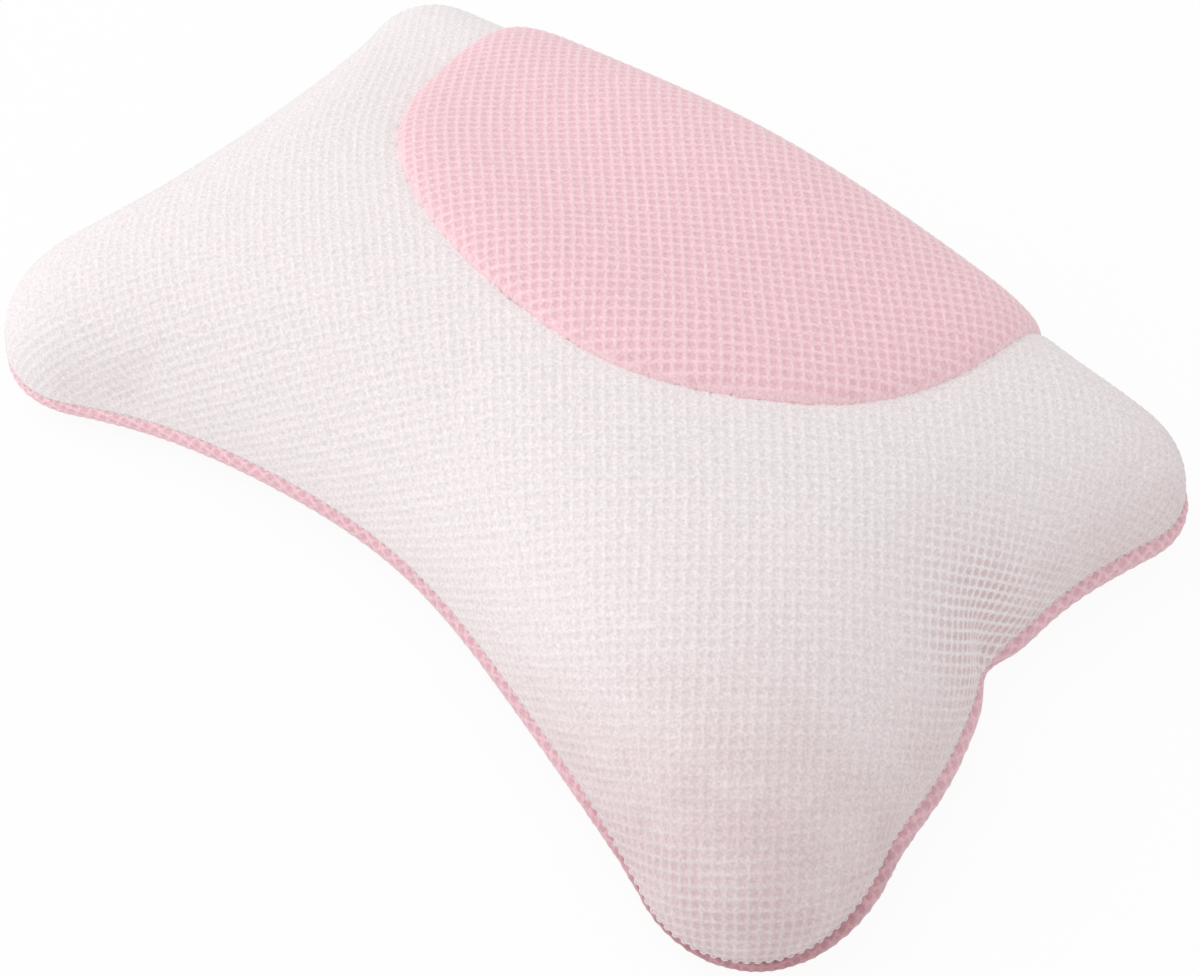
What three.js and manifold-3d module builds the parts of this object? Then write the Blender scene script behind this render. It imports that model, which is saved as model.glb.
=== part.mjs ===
// Bath pillow: a four-lobed cushion in spacer mesh with a raised head panel. Four suction cups, which swivel
// in eyelets in its base, hold it to the bath. Millimetres, +X along the pillow, -Y its front edge, +Z up.
// The cups' lips lie at z = 0, and the origin is midway between the lobes' tips.

import * as THREE from 'three';
import { mergeVertices } from 'three/addons/utils/BufferGeometryUtils.js';
import Module from 'manifold-3d';

const wasm = await Module();
wasm.setup();

// Outline in plan, along the seam: the rear lobes step in from the front ones
const WIDTH = 380;
const REAR_STEP = 5;
const DEPTH = 240;
const FRONT_LOBE_RADIUS = 38;
const REAR_LOBE_RADIUS = 26;
const FRONT_HOLLOW = 34;
const REAR_HOLLOW = 1.1;
const WAIST_RADIUS = 230;

// Crown over the seam: its height, how far in from the edge it is reached, and how it falls off to the sides
const FRONT_CROWN = 73.5;
const REAR_CROWN = 60;
const FRONT_SHOULDER = 72.5;
const REAR_SHOULDER = 25;
const FRONT_FALL = 11;
const REAR_FALL = 24;
const CROWN_SETBACK = 111.5;
const CROWN_CHANGE = 140;
const ROUNDNESS = 0.59;

// Covers, rim and seams
const COVER = 4;
const BASE_HEIGHT = 5;
const RIM_HEIGHT = 9;
const RIM_BULGE = 3.4;
const RIM_TUCK = 4;
const THREAD_RADIUS = 0.45;
const CLEARANCE = 0.3;
const FILLING_CLEARANCE = 0.8;

// Head panel: a half oval, open to the rear seam, over a pad
const HEAD_HALF_WIDTH = 117.5;
const HEAD_LENGTH = 116.5;
const HEAD_SIDE = 20;
const HEAD_FULLNESS = 2.07;
const HEAD_RISE = 5.5;
const HEAD_ROLL = 24;
const HEAD_PAD = 12;

// Suction cups
const CUP_INSET = 16;
const CUP_RADIUS = 21;
const CUP_LIP = 2.6;
const CUP_EDGE = 1.1;
const CUP_HOLLOW = 5;
const CUP_SHOULDER = 7.4;
const CUP_SHOULDER_RADIUS = 8;
const CUP_NECK_RADIUS = 3.7;
const CUP_HEAD_RADIUS = 6.4;
const CUP_HEAD_HEIGHT = 3.8;
const TAB_REACH = 6;
const TAB_WIDTH = 9;
const TAB_THICKNESS = 1.5;

// Eyelets, their washers and the patches that spread their pull
const BORE_CLEARANCE = 0.5;
const EYELET_WALL = 1;
const EYELET_FLANGE_RADIUS = 9;
const EYELET_ROLL_RADIUS = 7.4;
const WASHER_RADIUS = 9.5;
const WASHER_THICKNESS = 1;
const PATCH_RADIUS = 14;
const PATCH_THICKNESS = 1.2;
const DIMPLE_MARGIN = 4;

// Facets
const ARC_STEPS = { front: 6, frontLobe: 8, waist: 5, rearLobe: 7, rear: 5 };
const DOME_RINGS = 9;
const FILLING_RINGS = 7;
const HEAD_STEPS = { seam: 34, side: 3, rear: 10 };
const HEAD_RINGS = 7;
const PAD_FLOOR_RINGS = 3;
const RIM_STEPS = 4;
const INNER_RIM_STEPS = 3;
const FILLING_RIM_STEPS = 2;
const THREAD_SIDES = 6;
const ROUND_SEGMENTS = 24;
const DIMPLE_SEGMENTS = 14;
const DIMPLE_STEPS = 3;
const CURVE_STEPS = 4;

// Working values: how far a cutter runs past the face that it cuts, and how near points are welded
const OVERCUT = 1;
const WELD = 1e-4;

const { clamp, lerp, smoothstep } = THREE.MathUtils;

// Depth of the filling inside the covers
const fillingDepth = COVER + FILLING_CLEARANCE;

// Heights of the parts that stack up from the lips
const rimTop = BASE_HEIGHT + RIM_HEIGHT;
const seamHeight = rimTop + CLEARANCE;
const flangeBottom = CUP_SHOULDER + CLEARANCE;
const seatHeight = flangeBottom + EYELET_WALL + CLEARANCE;
const patchBottom = seatHeight + COVER + CLEARANCE;
const washerBottom = patchBottom + PATCH_THICKNESS + CLEARANCE;
const rollBottom = washerBottom + WASHER_THICKNESS + CLEARANCE;
const cupHeadBottom = rollBottom + EYELET_WALL + CLEARANCE;
const cupTop = cupHeadBottom + CUP_HEAD_HEIGHT;

// A height over everything, for cutters
const overhead = seamHeight + Math.max(FRONT_CROWN, REAR_CROWN) + HEAD_RISE + OVERCUT;

// Eyelet bore and barrel
const boreRadius = CUP_NECK_RADIUS + BORE_CLEARANCE;
const barrelRadius = boreRadius + EYELET_WALL;

// Where the front crown gives way to the rear one, and where the head panel's straight sides meet its oval
const crownMiddle = DEPTH / 2 - CROWN_SETBACK;
const headOvalTop = DEPTH / 2 - REAR_HOLLOW - HEAD_SIDE;

// Lobe centres
const frontLobe = new THREE.Vector2(WIDTH / 2 - FRONT_LOBE_RADIUS, FRONT_LOBE_RADIUS - DEPTH / 2);
const rearLobe = new THREE.Vector2(WIDTH / 2 - REAR_STEP - REAR_LOBE_RADIUS, DEPTH / 2 - REAR_LOBE_RADIUS);

// Radius of the hollow arc that touches both lobes of an edge and dips between them
function hollowRadius(lobeX, lobeRadius, dip) {
  return (lobeX ** 2 + (lobeRadius - dip) ** 2 - lobeRadius ** 2) / (2 * dip);
}

// Centre of the waist's arc, which touches a front lobe and a rear lobe from outside
function waistCentre() {
  const along = rearLobe.clone().sub(frontLobe);
  const span = along.length();
  const toFront = WAIST_RADIUS + FRONT_LOBE_RADIUS;
  const toRear = WAIST_RADIUS + REAR_LOBE_RADIUS;
  const foot = (toFront ** 2 - toRear ** 2 + span ** 2) / (2 * span);
  along.normalize();
  const outward = new THREE.Vector2(along.y, -along.x);
  const rise = Math.sqrt(toFront ** 2 - foot ** 2);
  return frontLobe.clone().addScaledVector(along, foot).addScaledVector(outward, rise);
}

function angleTo(centre, point) {
  return Math.atan2(point.y - centre.y, point.x - centre.x);
}

// The right half of the outline as arcs, from the middle of the front edge to the middle of the rear edge
function outlineArcs() {
  const frontRadius = hollowRadius(frontLobe.x, FRONT_LOBE_RADIUS, FRONT_HOLLOW);
  const rearRadius = hollowRadius(rearLobe.x, REAR_LOBE_RADIUS, REAR_HOLLOW);
  const front = new THREE.Vector2(0, FRONT_HOLLOW - DEPTH / 2 - frontRadius);
  const rear = new THREE.Vector2(0, DEPTH / 2 - REAR_HOLLOW + rearRadius);
  const waist = waistCentre();
  const turn = 2 * Math.PI;
  return [
    { centre: front, radius: frontRadius, hollow: true, steps: ARC_STEPS.front,
      from: Math.PI / 2, to: angleTo(front, frontLobe) },
    { centre: frontLobe, radius: FRONT_LOBE_RADIUS, hollow: false, steps: ARC_STEPS.frontLobe,
      from: angleTo(frontLobe, front), to: angleTo(frontLobe, waist) },
    { centre: waist, radius: WAIST_RADIUS, hollow: true, steps: ARC_STEPS.waist,
      from: turn + angleTo(waist, frontLobe), to: angleTo(waist, rearLobe) },
    { centre: rearLobe, radius: REAR_LOBE_RADIUS, hollow: false, steps: ARC_STEPS.rearLobe,
      from: angleTo(rearLobe, waist), to: angleTo(rearLobe, rear) },
    { centre: rear, radius: rearRadius, hollow: true, steps: ARC_STEPS.rear,
      from: angleTo(rear, rearLobe), to: -Math.PI / 2 },
  ];
}

const arcs = outlineArcs();

// The closed outline, moved outwards by an offset: lobes grow and hollows tighten about the same centres
function outline(offset) {
  const half = arcs.flatMap((arc) => {
    const radius = arc.hollow ? arc.radius - offset : arc.radius + offset;
    return Array.from({ length: arc.steps }, (_, i) => {
      const angle = lerp(arc.from, arc.to, i / arc.steps);
      return new THREE.Vector2(
        arc.centre.x + radius * Math.cos(angle),
        arc.centre.y + radius * Math.sin(angle),
      );
    });
  });
  const rearMiddle = new THREE.Vector2(0, rearEdge(0, offset));
  const mirrored = half.slice(1).reverse().map((point) => new THREE.Vector2(-point.x, point.y));
  return [...half, rearMiddle, ...mirrored];
}

// Height in plan of the rear edge at a given x
function rearEdge(x, offset) {
  const arc = arcs.at(-1);
  return arc.centre.y - Math.sqrt((arc.radius - offset) ** 2 - x ** 2);
}

// Mean-value distance from a point to an outline: true beside the edge, smooth in the middle
function edgeDistance(x, y, edge) {
  let sum = 0;
  edge.forEach((a, i) => {
    const b = edge[(i + 1) % edge.length];
    const [ax, ay, bx, by] = [a.x - x, a.y - y, b.x - x, b.y - y];
    const [ra, rb] = [Math.hypot(ax, ay), Math.hypot(bx, by)];
    sum += ((ax * by - ay * bx) / (ra * rb + ax * bx + ay * by)) * (1 / ra + 1 / rb);
  });
  return 2 / sum;
}

// Height of the crown over the seam, for a skin that lies inside the cover by a depth
function crown(x, y, depth) {
  const rear = smoothstep(y, crownMiddle - CROWN_CHANGE / 2, crownMiddle + CROWN_CHANGE / 2);
  const side = (x / (WIDTH / 2)) ** 2;
  const height = lerp(FRONT_CROWN - FRONT_FALL * side, REAR_CROWN - REAR_FALL * side, rear) - depth;
  const shoulder = lerp(FRONT_SHOULDER, REAR_SHOULDER, rear);
  const inwards = Math.min(edgeDistance(x, y, outline(-depth)) / shoulder, 1);
  return height * (1 - (1 - inwards) ** 2) ** ROUNDNESS;
}

// How far a point of the head panel lies inside its seam, measured straight out from the oval's middle
function seamDistance(x, y) {
  const along = Math.max(headOvalTop - y, 0);
  const reach = Math.hypot(x, along);
  if (reach === 0) return HEAD_HALF_WIDTH;
  const share = (Math.abs(x) / HEAD_HALF_WIDTH) ** HEAD_FULLNESS + (along / HEAD_LENGTH) ** HEAD_FULLNESS;
  return Math.max(reach / share ** (1 / HEAD_FULLNESS) - reach, 0);
}

// How far the head panel stands over the crown: a quarter round up from its seam, level in the middle and
// down again to the rear seam
function headRise(x, y) {
  const roll = Math.min(seamDistance(x, y) / HEAD_ROLL, 1);
  const rear = Math.max(y - headOvalTop, 0) / (DEPTH / 2 - headOvalTop);
  return HEAD_RISE * Math.sqrt(1 - (1 - roll) ** 2) * Math.sqrt(Math.max(1 - rear ** 2, 0));
}

// Closed rings of points, from the top outwards and down, skinned to a closed mesh: a ring of one point is a
// pole, and a wrapped skin joins its last ring to its first
function skin(rings, wrapped = false) {
  const count = Math.max(...rings.map((ring) => ring.length));
  const corner = (ring, i) => ring[ring.length === 1 ? 0 : i % count];
  const last = wrapped ? rings.length : rings.length - 1;
  const triangles = [];
  for (let step = 0; step < last; step += 1) {
    const upper = rings[step];
    const lower = rings[(step + 1) % rings.length];
    for (let i = 0; i < count; i += 1) {
      const [a, b] = [corner(upper, i), corner(upper, i + 1)];
      const [c, d] = [corner(lower, i + 1), corner(lower, i)];
      if (a === b) triangles.push([a, d, c]);
      else if (c === d) triangles.push([a, d, b]);
      else triangles.push(...splitQuad(a, b, c, d));
    }
  }
  return new THREE.BufferGeometry().setFromPoints(triangles.flat());
}

// Four corners as two triangles along the shorter diagonal, so that nested skins are split alike
function splitQuad(a, b, c, d) {
  return a.distanceTo(c) < b.distanceTo(d) ? [[a, d, c], [a, c, b]] : [[a, d, b], [b, d, c]];
}

function level(points, z) {
  return points.map((point) => new THREE.Vector3(point.x, point.y, z));
}

// Rings from a pole out to a boundary, closer together near the boundary, each point lifted by a function
function domeRings(boundary, middle, count, height) {
  const pole = [new THREE.Vector3(middle.x, middle.y, height(middle.x, middle.y))];
  const rings = Array.from({ length: count - 1 }, (_, i) => {
    const share = Math.sin((Math.PI / 2) * ((i + 1) / count));
    return boundary.map((edge) => {
      const point = middle.clone().lerp(edge, share);
      return new THREE.Vector3(point.x, point.y, height(point.x, point.y));
    });
  });
  return [pole, ...rings];
}

const pillowMiddle = new THREE.Vector2(0, 0);

// The crowned skin at a depth inside the cover, from its pole to its edge at the seam
function crownRings(depth, count) {
  const edge = outline(-depth);
  const height = (x, y) => seamHeight + crown(x, y, depth);
  return [...domeRings(edge, pillowMiddle, count, height), level(edge, seamHeight)];
}

// The rolled rim at a depth inside the base cover, from its top edge down to the flat of the base
function rimRings(depth, steps) {
  return Array.from({ length: steps + 1 }, (_, i) => {
    const angle = (Math.PI * i) / steps;
    const offset = RIM_BULGE * Math.sin(angle) - (RIM_TUCK * (1 - Math.cos(angle))) / 2 - depth;
    const z = BASE_HEIGHT + depth + ((RIM_HEIGHT - depth) * (1 + Math.cos(angle))) / 2;
    return level(outline(offset), z);
  });
}

function pole(z) {
  return [new THREE.Vector3(pillowMiddle.x, pillowMiddle.y, z)];
}

// Booleans on closed geometries
function solid(geometry) {
  const bare = geometry.clone();
  bare.deleteAttribute('normal');
  bare.deleteAttribute('uv');
  const merged = mergeVertices(bare, WELD);
  return new wasm.Manifold(new wasm.Mesh({
    numProp: 3,
    vertProperties: Float32Array.from(merged.attributes.position.array),
    triVerts: Uint32Array.from(merged.index.array),
  }));
}

function toGeometry(body) {
  const mesh = body.getMesh();
  const geometry = new THREE.BufferGeometry();
  geometry.setAttribute('position', new THREE.Float32BufferAttribute(mesh.vertProperties, 3));
  geometry.setIndex(Array.from(mesh.triVerts));
  return geometry;
}

// A profile of radius and height, turned about the upright axis
function turned(points, segments = ROUND_SEGMENTS) {
  const profile = points.map(([radius, z]) => new THREE.Vector2(radius, z));
  return new THREE.LatheGeometry(profile, segments).rotateX(Math.PI / 2);
}

// A flat ring with a square section
function ringProfile(bore, radius, bottom, top) {
  return [[bore, bottom], [radius, bottom], [radius, top], [bore, top], [bore, bottom]];
}

// The hollow in the base over a cup: its flat seat for the eyelet, its mouth, and how far out a cup can sit
// with that mouth still on the filling's flat
const seatRadius = EYELET_FLANGE_RADIUS + DIMPLE_MARGIN / 2;
const dimpleRadius = CUP_RADIUS + DIMPLE_MARGIN;
const cupReach = DEPTH / 2 - RIM_TUCK - dimpleRadius - 2 * fillingDepth - OVERCUT;

// Where each cup sits: in its lobe, set in from the lobe's centre towards the middle
const cups = [
  { name: 'front_left', side: -1, lobe: frontLobe },
  { name: 'front_right', side: 1, lobe: frontLobe },
  { name: 'rear_left', side: -1, lobe: rearLobe },
  { name: 'rear_right', side: 1, lobe: rearLobe },
].map(({ name, side, lobe }) => {
  const y = clamp(lobe.y, -cupReach, cupReach);
  return { name, side, place: [side * (lobe.x - CUP_INSET), y, 0] };
});

// A dimple's profile, grown by a depth: a sloping wall from its mouth up to its seat
function dimpleProfile(depth) {
  const below = BASE_HEIGHT + depth - OVERCUT;
  const wall = Array.from({ length: DIMPLE_STEPS + 1 }, (_, i) => {
    const share = i / DIMPLE_STEPS;
    const z = lerp(BASE_HEIGHT, seatHeight, smoothstep(share, 0, 1));
    return [lerp(dimpleRadius, seatRadius, share) + depth, z + depth];
  });
  return [[0, below], [dimpleRadius + depth, below], ...wall];
}

function dimple(depth) {
  return turned([...dimpleProfile(depth), [0, seatHeight + depth]], DIMPLE_SEGMENTS);
}

// The room that a dimple takes in the filling, with a pocket over it for the patch, washer and cup's head
function cupRoom() {
  const pocketRadius = PATCH_RADIUS + CLEARANCE;
  return turned([
    ...dimpleProfile(fillingDepth),
    [pocketRadius, seatHeight + fillingDepth],
    [pocketRadius, cupTop + CLEARANCE],
    [0, cupTop + CLEARANCE],
  ], DIMPLE_SEGMENTS);
}

function atCups(geometry) {
  return cups.map(({ place }) => solid(geometry.clone().translate(...place)));
}

function cutAll(body, cutters) {
  return cutters.reduce((rest, cutter) => rest.subtract(cutter), body);
}

// Boundary of the head panel, counter-clockwise from the right end of its seam: along the rear edge, down
// the left side, round the half oval and up the right side. The trim pulls the seam in, and the depth pulls
// the rear edge in
function headBoundary(trim, depth) {
  const halfWidth = HEAD_HALF_WIDTH - trim;
  const length = HEAD_LENGTH - trim;
  const sideTop = rearEdge(halfWidth, -depth);
  const rear = Array.from({ length: HEAD_STEPS.rear }, (_, i) => {
    const x = lerp(halfWidth, -halfWidth, i / HEAD_STEPS.rear);
    return new THREE.Vector2(x, rearEdge(x, -depth));
  });
  const side = Array.from({ length: HEAD_STEPS.side }, (_, i) => {
    const share = Math.cos((Math.PI / 2) * (i / HEAD_STEPS.side));
    return new THREE.Vector2(-halfWidth, lerp(headOvalTop, sideTop, share));
  });
  const mirrored = side.slice(1).reverse().map((point) => new THREE.Vector2(halfWidth, point.y));
  const oval = Array.from({ length: HEAD_STEPS.seam }, (_, i) => {
    const angle = Math.PI * (1 + i / HEAD_STEPS.seam);
    return ovalPoint(angle, halfWidth, length);
  });
  const ovalEnd = new THREE.Vector2(halfWidth, headOvalTop);
  return [...rear, ...side, ...oval, ovalEnd, ...mirrored];
}

function ovalPoint(angle, halfWidth, length) {
  const power = 2 / HEAD_FULLNESS;
  const across = Math.sign(Math.cos(angle)) * Math.abs(Math.cos(angle)) ** power;
  return new THREE.Vector2(halfWidth * across, headOvalTop - length * Math.abs(Math.sin(angle)) ** power);
}

const headMiddle = new THREE.Vector2(0, headOvalTop - HEAD_LENGTH / 2);

function headPole(z) {
  return [new THREE.Vector3(headMiddle.x, headMiddle.y, z)];
}

// The head panel's skin at a depth, from its pole to its edge: raised over the crown, down to the rear seam
function headRings(trim, depth, count = HEAD_RINGS, raised = 1) {
  const boundary = headBoundary(trim, depth);
  const height = (x, y) => seamHeight + crown(x, y, depth) + raised * headRise(x, y);
  const edge = boundary.map((point, i) => {
    const onRear = i <= HEAD_STEPS.rear;
    return new THREE.Vector3(point.x, point.y, onRear ? seamHeight : height(point.x, point.y));
  });
  return [...domeRings(boundary, headMiddle, count, height), edge];
}

// Everything above the pad's underside, inside the head panel's seam: the room that the pad takes
function headRoom(trim, depth) {
  const floor = headRings(trim, depth, PAD_FLOOR_RINGS, 0);
  floor.forEach((ring) => ring.forEach((point) => { point.z -= CLEARANCE; }));
  const beyond = headBoundary(trim, -RIM_BULGE - COVER);
  const foot = beyond.map((point, i) => new THREE.Vector3(point.x, point.y, floor.at(-1)[i].z));
  return solid(skin([headPole(overhead), level(beyond, overhead), foot, ...floor.toReversed()]));
}

// White top cover, with a window for the head panel
function topPanel() {
  const inner = crownRings(COVER, DOME_RINGS).toReversed();
  const shell = solid(skin([...crownRings(0, DOME_RINGS), ...inner]));
  const window = headBoundary(-CLEARANCE / 2, -RIM_BULGE);
  const prism = skin([
    headPole(overhead),
    level(window, overhead),
    level(window, BASE_HEIGHT),
    headPole(BASE_HEIGHT),
  ]);
  return toGeometry(shell.subtract(solid(prism)));
}

function headPanel() {
  return skin([...headRings(CLEARANCE / 2, 0), ...headRings(CLEARANCE / 2, COVER).toReversed()]);
}

function headPad() {
  return skin([
    ...headRings(CLEARANCE, fillingDepth),
    ...headRings(CLEARANCE, fillingDepth + HEAD_PAD, PAD_FLOOR_RINGS, 0).toReversed(),
  ]);
}

// Fibre filling, hollowed for the pad above and for the eyelets below
function mainFilling() {
  const body = solid(skin([
    ...crownRings(fillingDepth, FILLING_RINGS),
    ...rimRings(fillingDepth, FILLING_RIM_STEPS),
    pole(BASE_HEIGHT + fillingDepth),
  ]));
  const room = headRoom(-CLEARANCE, fillingDepth + HEAD_PAD + FILLING_CLEARANCE);
  return toGeometry(cutAll(body, [room, ...atCups(cupRoom())]));
}

// Base cover: a tray with a rolled rim, drawn up over each cup and pierced for its eyelet
function basePanel() {
  const outside = solid(skin([pole(rimTop), ...rimRings(0, RIM_STEPS), pole(BASE_HEIGHT)]));
  const inside = solid(skin([
    pole(rimTop + OVERCUT),
    level(outline(-COVER), rimTop + OVERCUT),
    ...rimRings(COVER, INNER_RIM_STEPS),
    pole(BASE_HEIGHT + COVER),
  ]));
  const bore = turned([
    [0, 0],
    [barrelRadius + CLEARANCE, 0],
    [barrelRadius + CLEARANCE, patchBottom],
    [0, patchBottom],
  ], DIMPLE_SEGMENTS);
  const tray = cutAll(outside, [cutAll(inside, atCups(dimple(COVER))), ...atCups(dimple(0))]);
  return toGeometry(cutAll(tray, atCups(bore)));
}

// Thread in the crease between the top cover and the rim
function edgeThread() {
  const rings = Array.from({ length: THREAD_SIDES }, (_, i) => {
    const angle = (2 * Math.PI * i) / THREAD_SIDES;
    const offset = THREAD_RADIUS * (1 + Math.cos(angle)) + CLEARANCE;
    return level(outline(offset), seamHeight + THREAD_RADIUS * Math.sin(angle));
  });
  return skin(rings.toReversed(), true);
}

// A point beside the top cover's face, at a distance along the face's normal
function besideCrown(x, y, distance) {
  const step = CLEARANCE;
  const slopeX = (crown(x + step, y, 0) - crown(x - step, y, 0)) / (2 * step);
  const slopeY = (crown(x, y + step, 0) - crown(x, y - step, 0)) / (2 * step);
  const normal = new THREE.Vector3(-slopeX, -slopeY, 1).normalize();
  return new THREE.Vector3(x, y, seamHeight + crown(x, y, 0)).addScaledVector(normal, distance);
}

// Thread in the crease round the head panel, from the rear seam round the half oval and back
function headThread() {
  const stop = 2 * THREAD_RADIUS + CLEARANCE;
  const side = HEAD_HALF_WIDTH + THREAD_RADIUS;
  const seam = headBoundary(-THREAD_RADIUS, stop).slice(HEAD_STEPS.rear);
  const points = [...seam, new THREE.Vector2(side, rearEdge(side, -stop))];
  const path = new THREE.CatmullRomCurve3(points.map(({ x, y }) => besideCrown(x, y, stop)));
  const section = new THREE.Shape().absarc(0, 0, THREAD_RADIUS, 0, 2 * Math.PI);
  return new THREE.ExtrudeGeometry(section, {
    steps: points.length,
    curveSegments: THREAD_SIDES / 2,
    extrudePath: path,
  });
}

// Suction cup: a flat lip, a hollow bell, a neck that turns in the eyelet, a head that keeps it and a tab
function suctionCup() {
  const lipInside = CUP_RADIUS - CUP_LIP;
  const profile = new THREE.Path();
  profile.moveTo(0, CUP_HOLLOW);
  profile.quadraticCurveTo(lipInside / 2, CUP_HOLLOW, lipInside, 0);
  profile.lineTo(CUP_RADIUS, 0);
  profile.lineTo(CUP_RADIUS, CUP_EDGE);
  profile.quadraticCurveTo(lipInside - CUP_LIP, CUP_SHOULDER - CUP_EDGE, CUP_SHOULDER_RADIUS, CUP_SHOULDER);
  profile.lineTo(CUP_NECK_RADIUS, CUP_SHOULDER);
  profile.lineTo(CUP_NECK_RADIUS, cupHeadBottom);
  profile.lineTo(CUP_HEAD_RADIUS, cupHeadBottom);
  profile.quadraticCurveTo(CUP_HEAD_RADIUS, cupTop, 0, cupTop);
  const bell = turned(profile.getPoints(CURVE_STEPS).map((point) => [point.x, point.y]));
  const tab = new THREE.Shape();
  const tabEnd = CUP_RADIUS + TAB_REACH - TAB_WIDTH / 2;
  tab.moveTo(lipInside, -TAB_WIDTH / 2);
  tab.lineTo(tabEnd, -TAB_WIDTH / 2);
  tab.absarc(tabEnd, 0, TAB_WIDTH / 2, -Math.PI / 2, Math.PI / 2);
  tab.lineTo(lipInside, TAB_WIDTH / 2);
  const tongue = new THREE.ExtrudeGeometry(tab, {
    depth: TAB_THICKNESS,
    bevelEnabled: false,
    curveSegments: CURVE_STEPS,
  });
  return toGeometry(solid(bell).add(solid(tongue.translate(0, 0, CUP_EDGE / 2))));
}

// Eyelet: a flange under the base, a barrel through it and a rolled edge over the washer
function eyelet() {
  return turned([
    [boreRadius, flangeBottom],
    [EYELET_FLANGE_RADIUS, flangeBottom],
    [EYELET_FLANGE_RADIUS, flangeBottom + EYELET_WALL],
    [barrelRadius, flangeBottom + EYELET_WALL],
    [barrelRadius, rollBottom],
    [EYELET_ROLL_RADIUS, rollBottom],
    [EYELET_ROLL_RADIUS, rollBottom + EYELET_WALL],
    [boreRadius, rollBottom + EYELET_WALL],
    [boreRadius, flangeBottom],
  ], DIMPLE_SEGMENTS);
}

function washer() {
  const top = washerBottom + WASHER_THICKNESS;
  return turned(ringProfile(barrelRadius + CLEARANCE, WASHER_RADIUS, washerBottom, top), DIMPLE_SEGMENTS);
}

function patch() {
  const top = patchBottom + PATCH_THICKNESS;
  return turned(ringProfile(barrelRadius + CLEARANCE, PATCH_RADIUS, patchBottom, top), DIMPLE_SEGMENTS);
}

// Finishes
const whiteMesh = new THREE.MeshStandardMaterial({ color: 0xede4e4, roughness: 0.95, metalness: 0 });
const pinkMesh = new THREE.MeshStandardMaterial({ color: 0xf0c4cc, roughness: 0.95, metalness: 0 });
const rimPink = new THREE.MeshStandardMaterial({ color: 0xe6a3b0, roughness: 0.95, metalness: 0 });
const threadWhite = new THREE.MeshStandardMaterial({ color: 0xf2ecec, roughness: 0.9, metalness: 0 });
const fibre = new THREE.MeshStandardMaterial({ color: 0xf5f3ee, roughness: 1, metalness: 0 });
const clearVinyl = new THREE.MeshStandardMaterial({
  color: 0xe8eef0,
  roughness: 0.2,
  metalness: 0,
  transparent: true,
  opacity: 0.6,
});
const nickel = new THREE.MeshStandardMaterial({ color: 0xc9c7c2, roughness: 0.25, metalness: 1 });

// Assembly
const group = new THREE.Group();

function place(name, geometry, material, at = [0, 0, 0], turn = 0) {
  const mesh = new THREE.Mesh(geometry, material);
  mesh.name = name;
  mesh.position.set(...at);
  mesh.rotation.z = turn;
  group.add(mesh);
}

place('top_panel', topPanel(), whiteMesh);
place('head_panel', headPanel(), pinkMesh);
place('base_panel', basePanel(), rimPink);
place('edge_seam_thread', edgeThread(), threadWhite);
place('head_seam_thread', headThread(), threadWhite);
place('main_filling', mainFilling(), fibre);
place('head_pad', headPad(), fibre);

cups.forEach(({ name, side, place: at }) => {
  const tabOutwards = side > 0 ? 0 : Math.PI;
  place(`suction_cup_${name}`, suctionCup(), clearVinyl, at, tabOutwards);
  place(`cup_eyelet_${name}`, eyelet(), nickel, at);
  place(`cup_washer_${name}`, washer(), nickel, at);
  place(`cup_patch_${name}`, patch(), pinkMesh, at);
});

export default group;
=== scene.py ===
"""Looks of a four-lobed bath pillow in spacer mesh, built round its packed solids."""

import math

import bmesh
import bpy
import numpy as np
from bpy.props import FloatProperty, FloatVectorProperty, IntProperty, PointerProperty
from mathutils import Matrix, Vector


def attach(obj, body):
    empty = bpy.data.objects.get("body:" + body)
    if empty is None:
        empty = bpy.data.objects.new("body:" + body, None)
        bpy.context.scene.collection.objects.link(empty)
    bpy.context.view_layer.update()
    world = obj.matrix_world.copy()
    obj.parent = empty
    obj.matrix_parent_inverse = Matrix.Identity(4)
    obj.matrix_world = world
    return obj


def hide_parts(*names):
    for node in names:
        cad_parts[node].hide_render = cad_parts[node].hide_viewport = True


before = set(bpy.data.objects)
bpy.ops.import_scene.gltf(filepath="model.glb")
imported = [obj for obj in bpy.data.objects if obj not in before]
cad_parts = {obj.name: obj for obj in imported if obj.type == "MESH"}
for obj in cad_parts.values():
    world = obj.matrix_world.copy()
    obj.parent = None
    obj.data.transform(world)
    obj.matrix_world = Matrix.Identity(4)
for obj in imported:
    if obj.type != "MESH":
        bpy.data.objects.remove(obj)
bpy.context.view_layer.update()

bl_info = {
    "name": "Bath pillow",
    "version": (1, 0, 0),
    "blender": (4, 5, 0),
    "location": "3D View > Sidebar > Bath pillow",
    "description": "Builds the covers, seams, filling and suction cups of a bath pillow",
    "category": "Add Mesh",
}

CUP_PLACES = ("front_left", "front_right", "rear_left", "rear_right")
# The top surface after the cloth simulation, kept for the operators that share it
BLOWN = {}
# Depths in the net, as kept with its points, and how square its holes are
KNOT, STRAND, LIP, BOTTOM = 0.0, 0.25, 0.5, 1.0
SQUARENESS = 2.6
# A target that misses a grid by this much is looked for again in so many rows by the corners of a finer grid
LOST, CORNER = 0.0002, 61
# Newton's steps, in cells: how coarse the first guess is, how far a step goes and how far outside it may end
COARSE, STRIDE, MARGIN = 4, 3, 1.5
# Strides of the grids that are laid flat, with the rounds on each, and how far each round overshoots
FLATTENING = ((8, 600), (4, 400), (2, 250), (1, 120))
OVERSHOOT = 1.2
# How far each round of averaging moves the blown cloth towards the average
EVENED = 0.6
# Rings along a stitch and points round each, and waves that make up the filling's lumps
RINGS, SIDES = 7, 6
WAVES = 14

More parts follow.
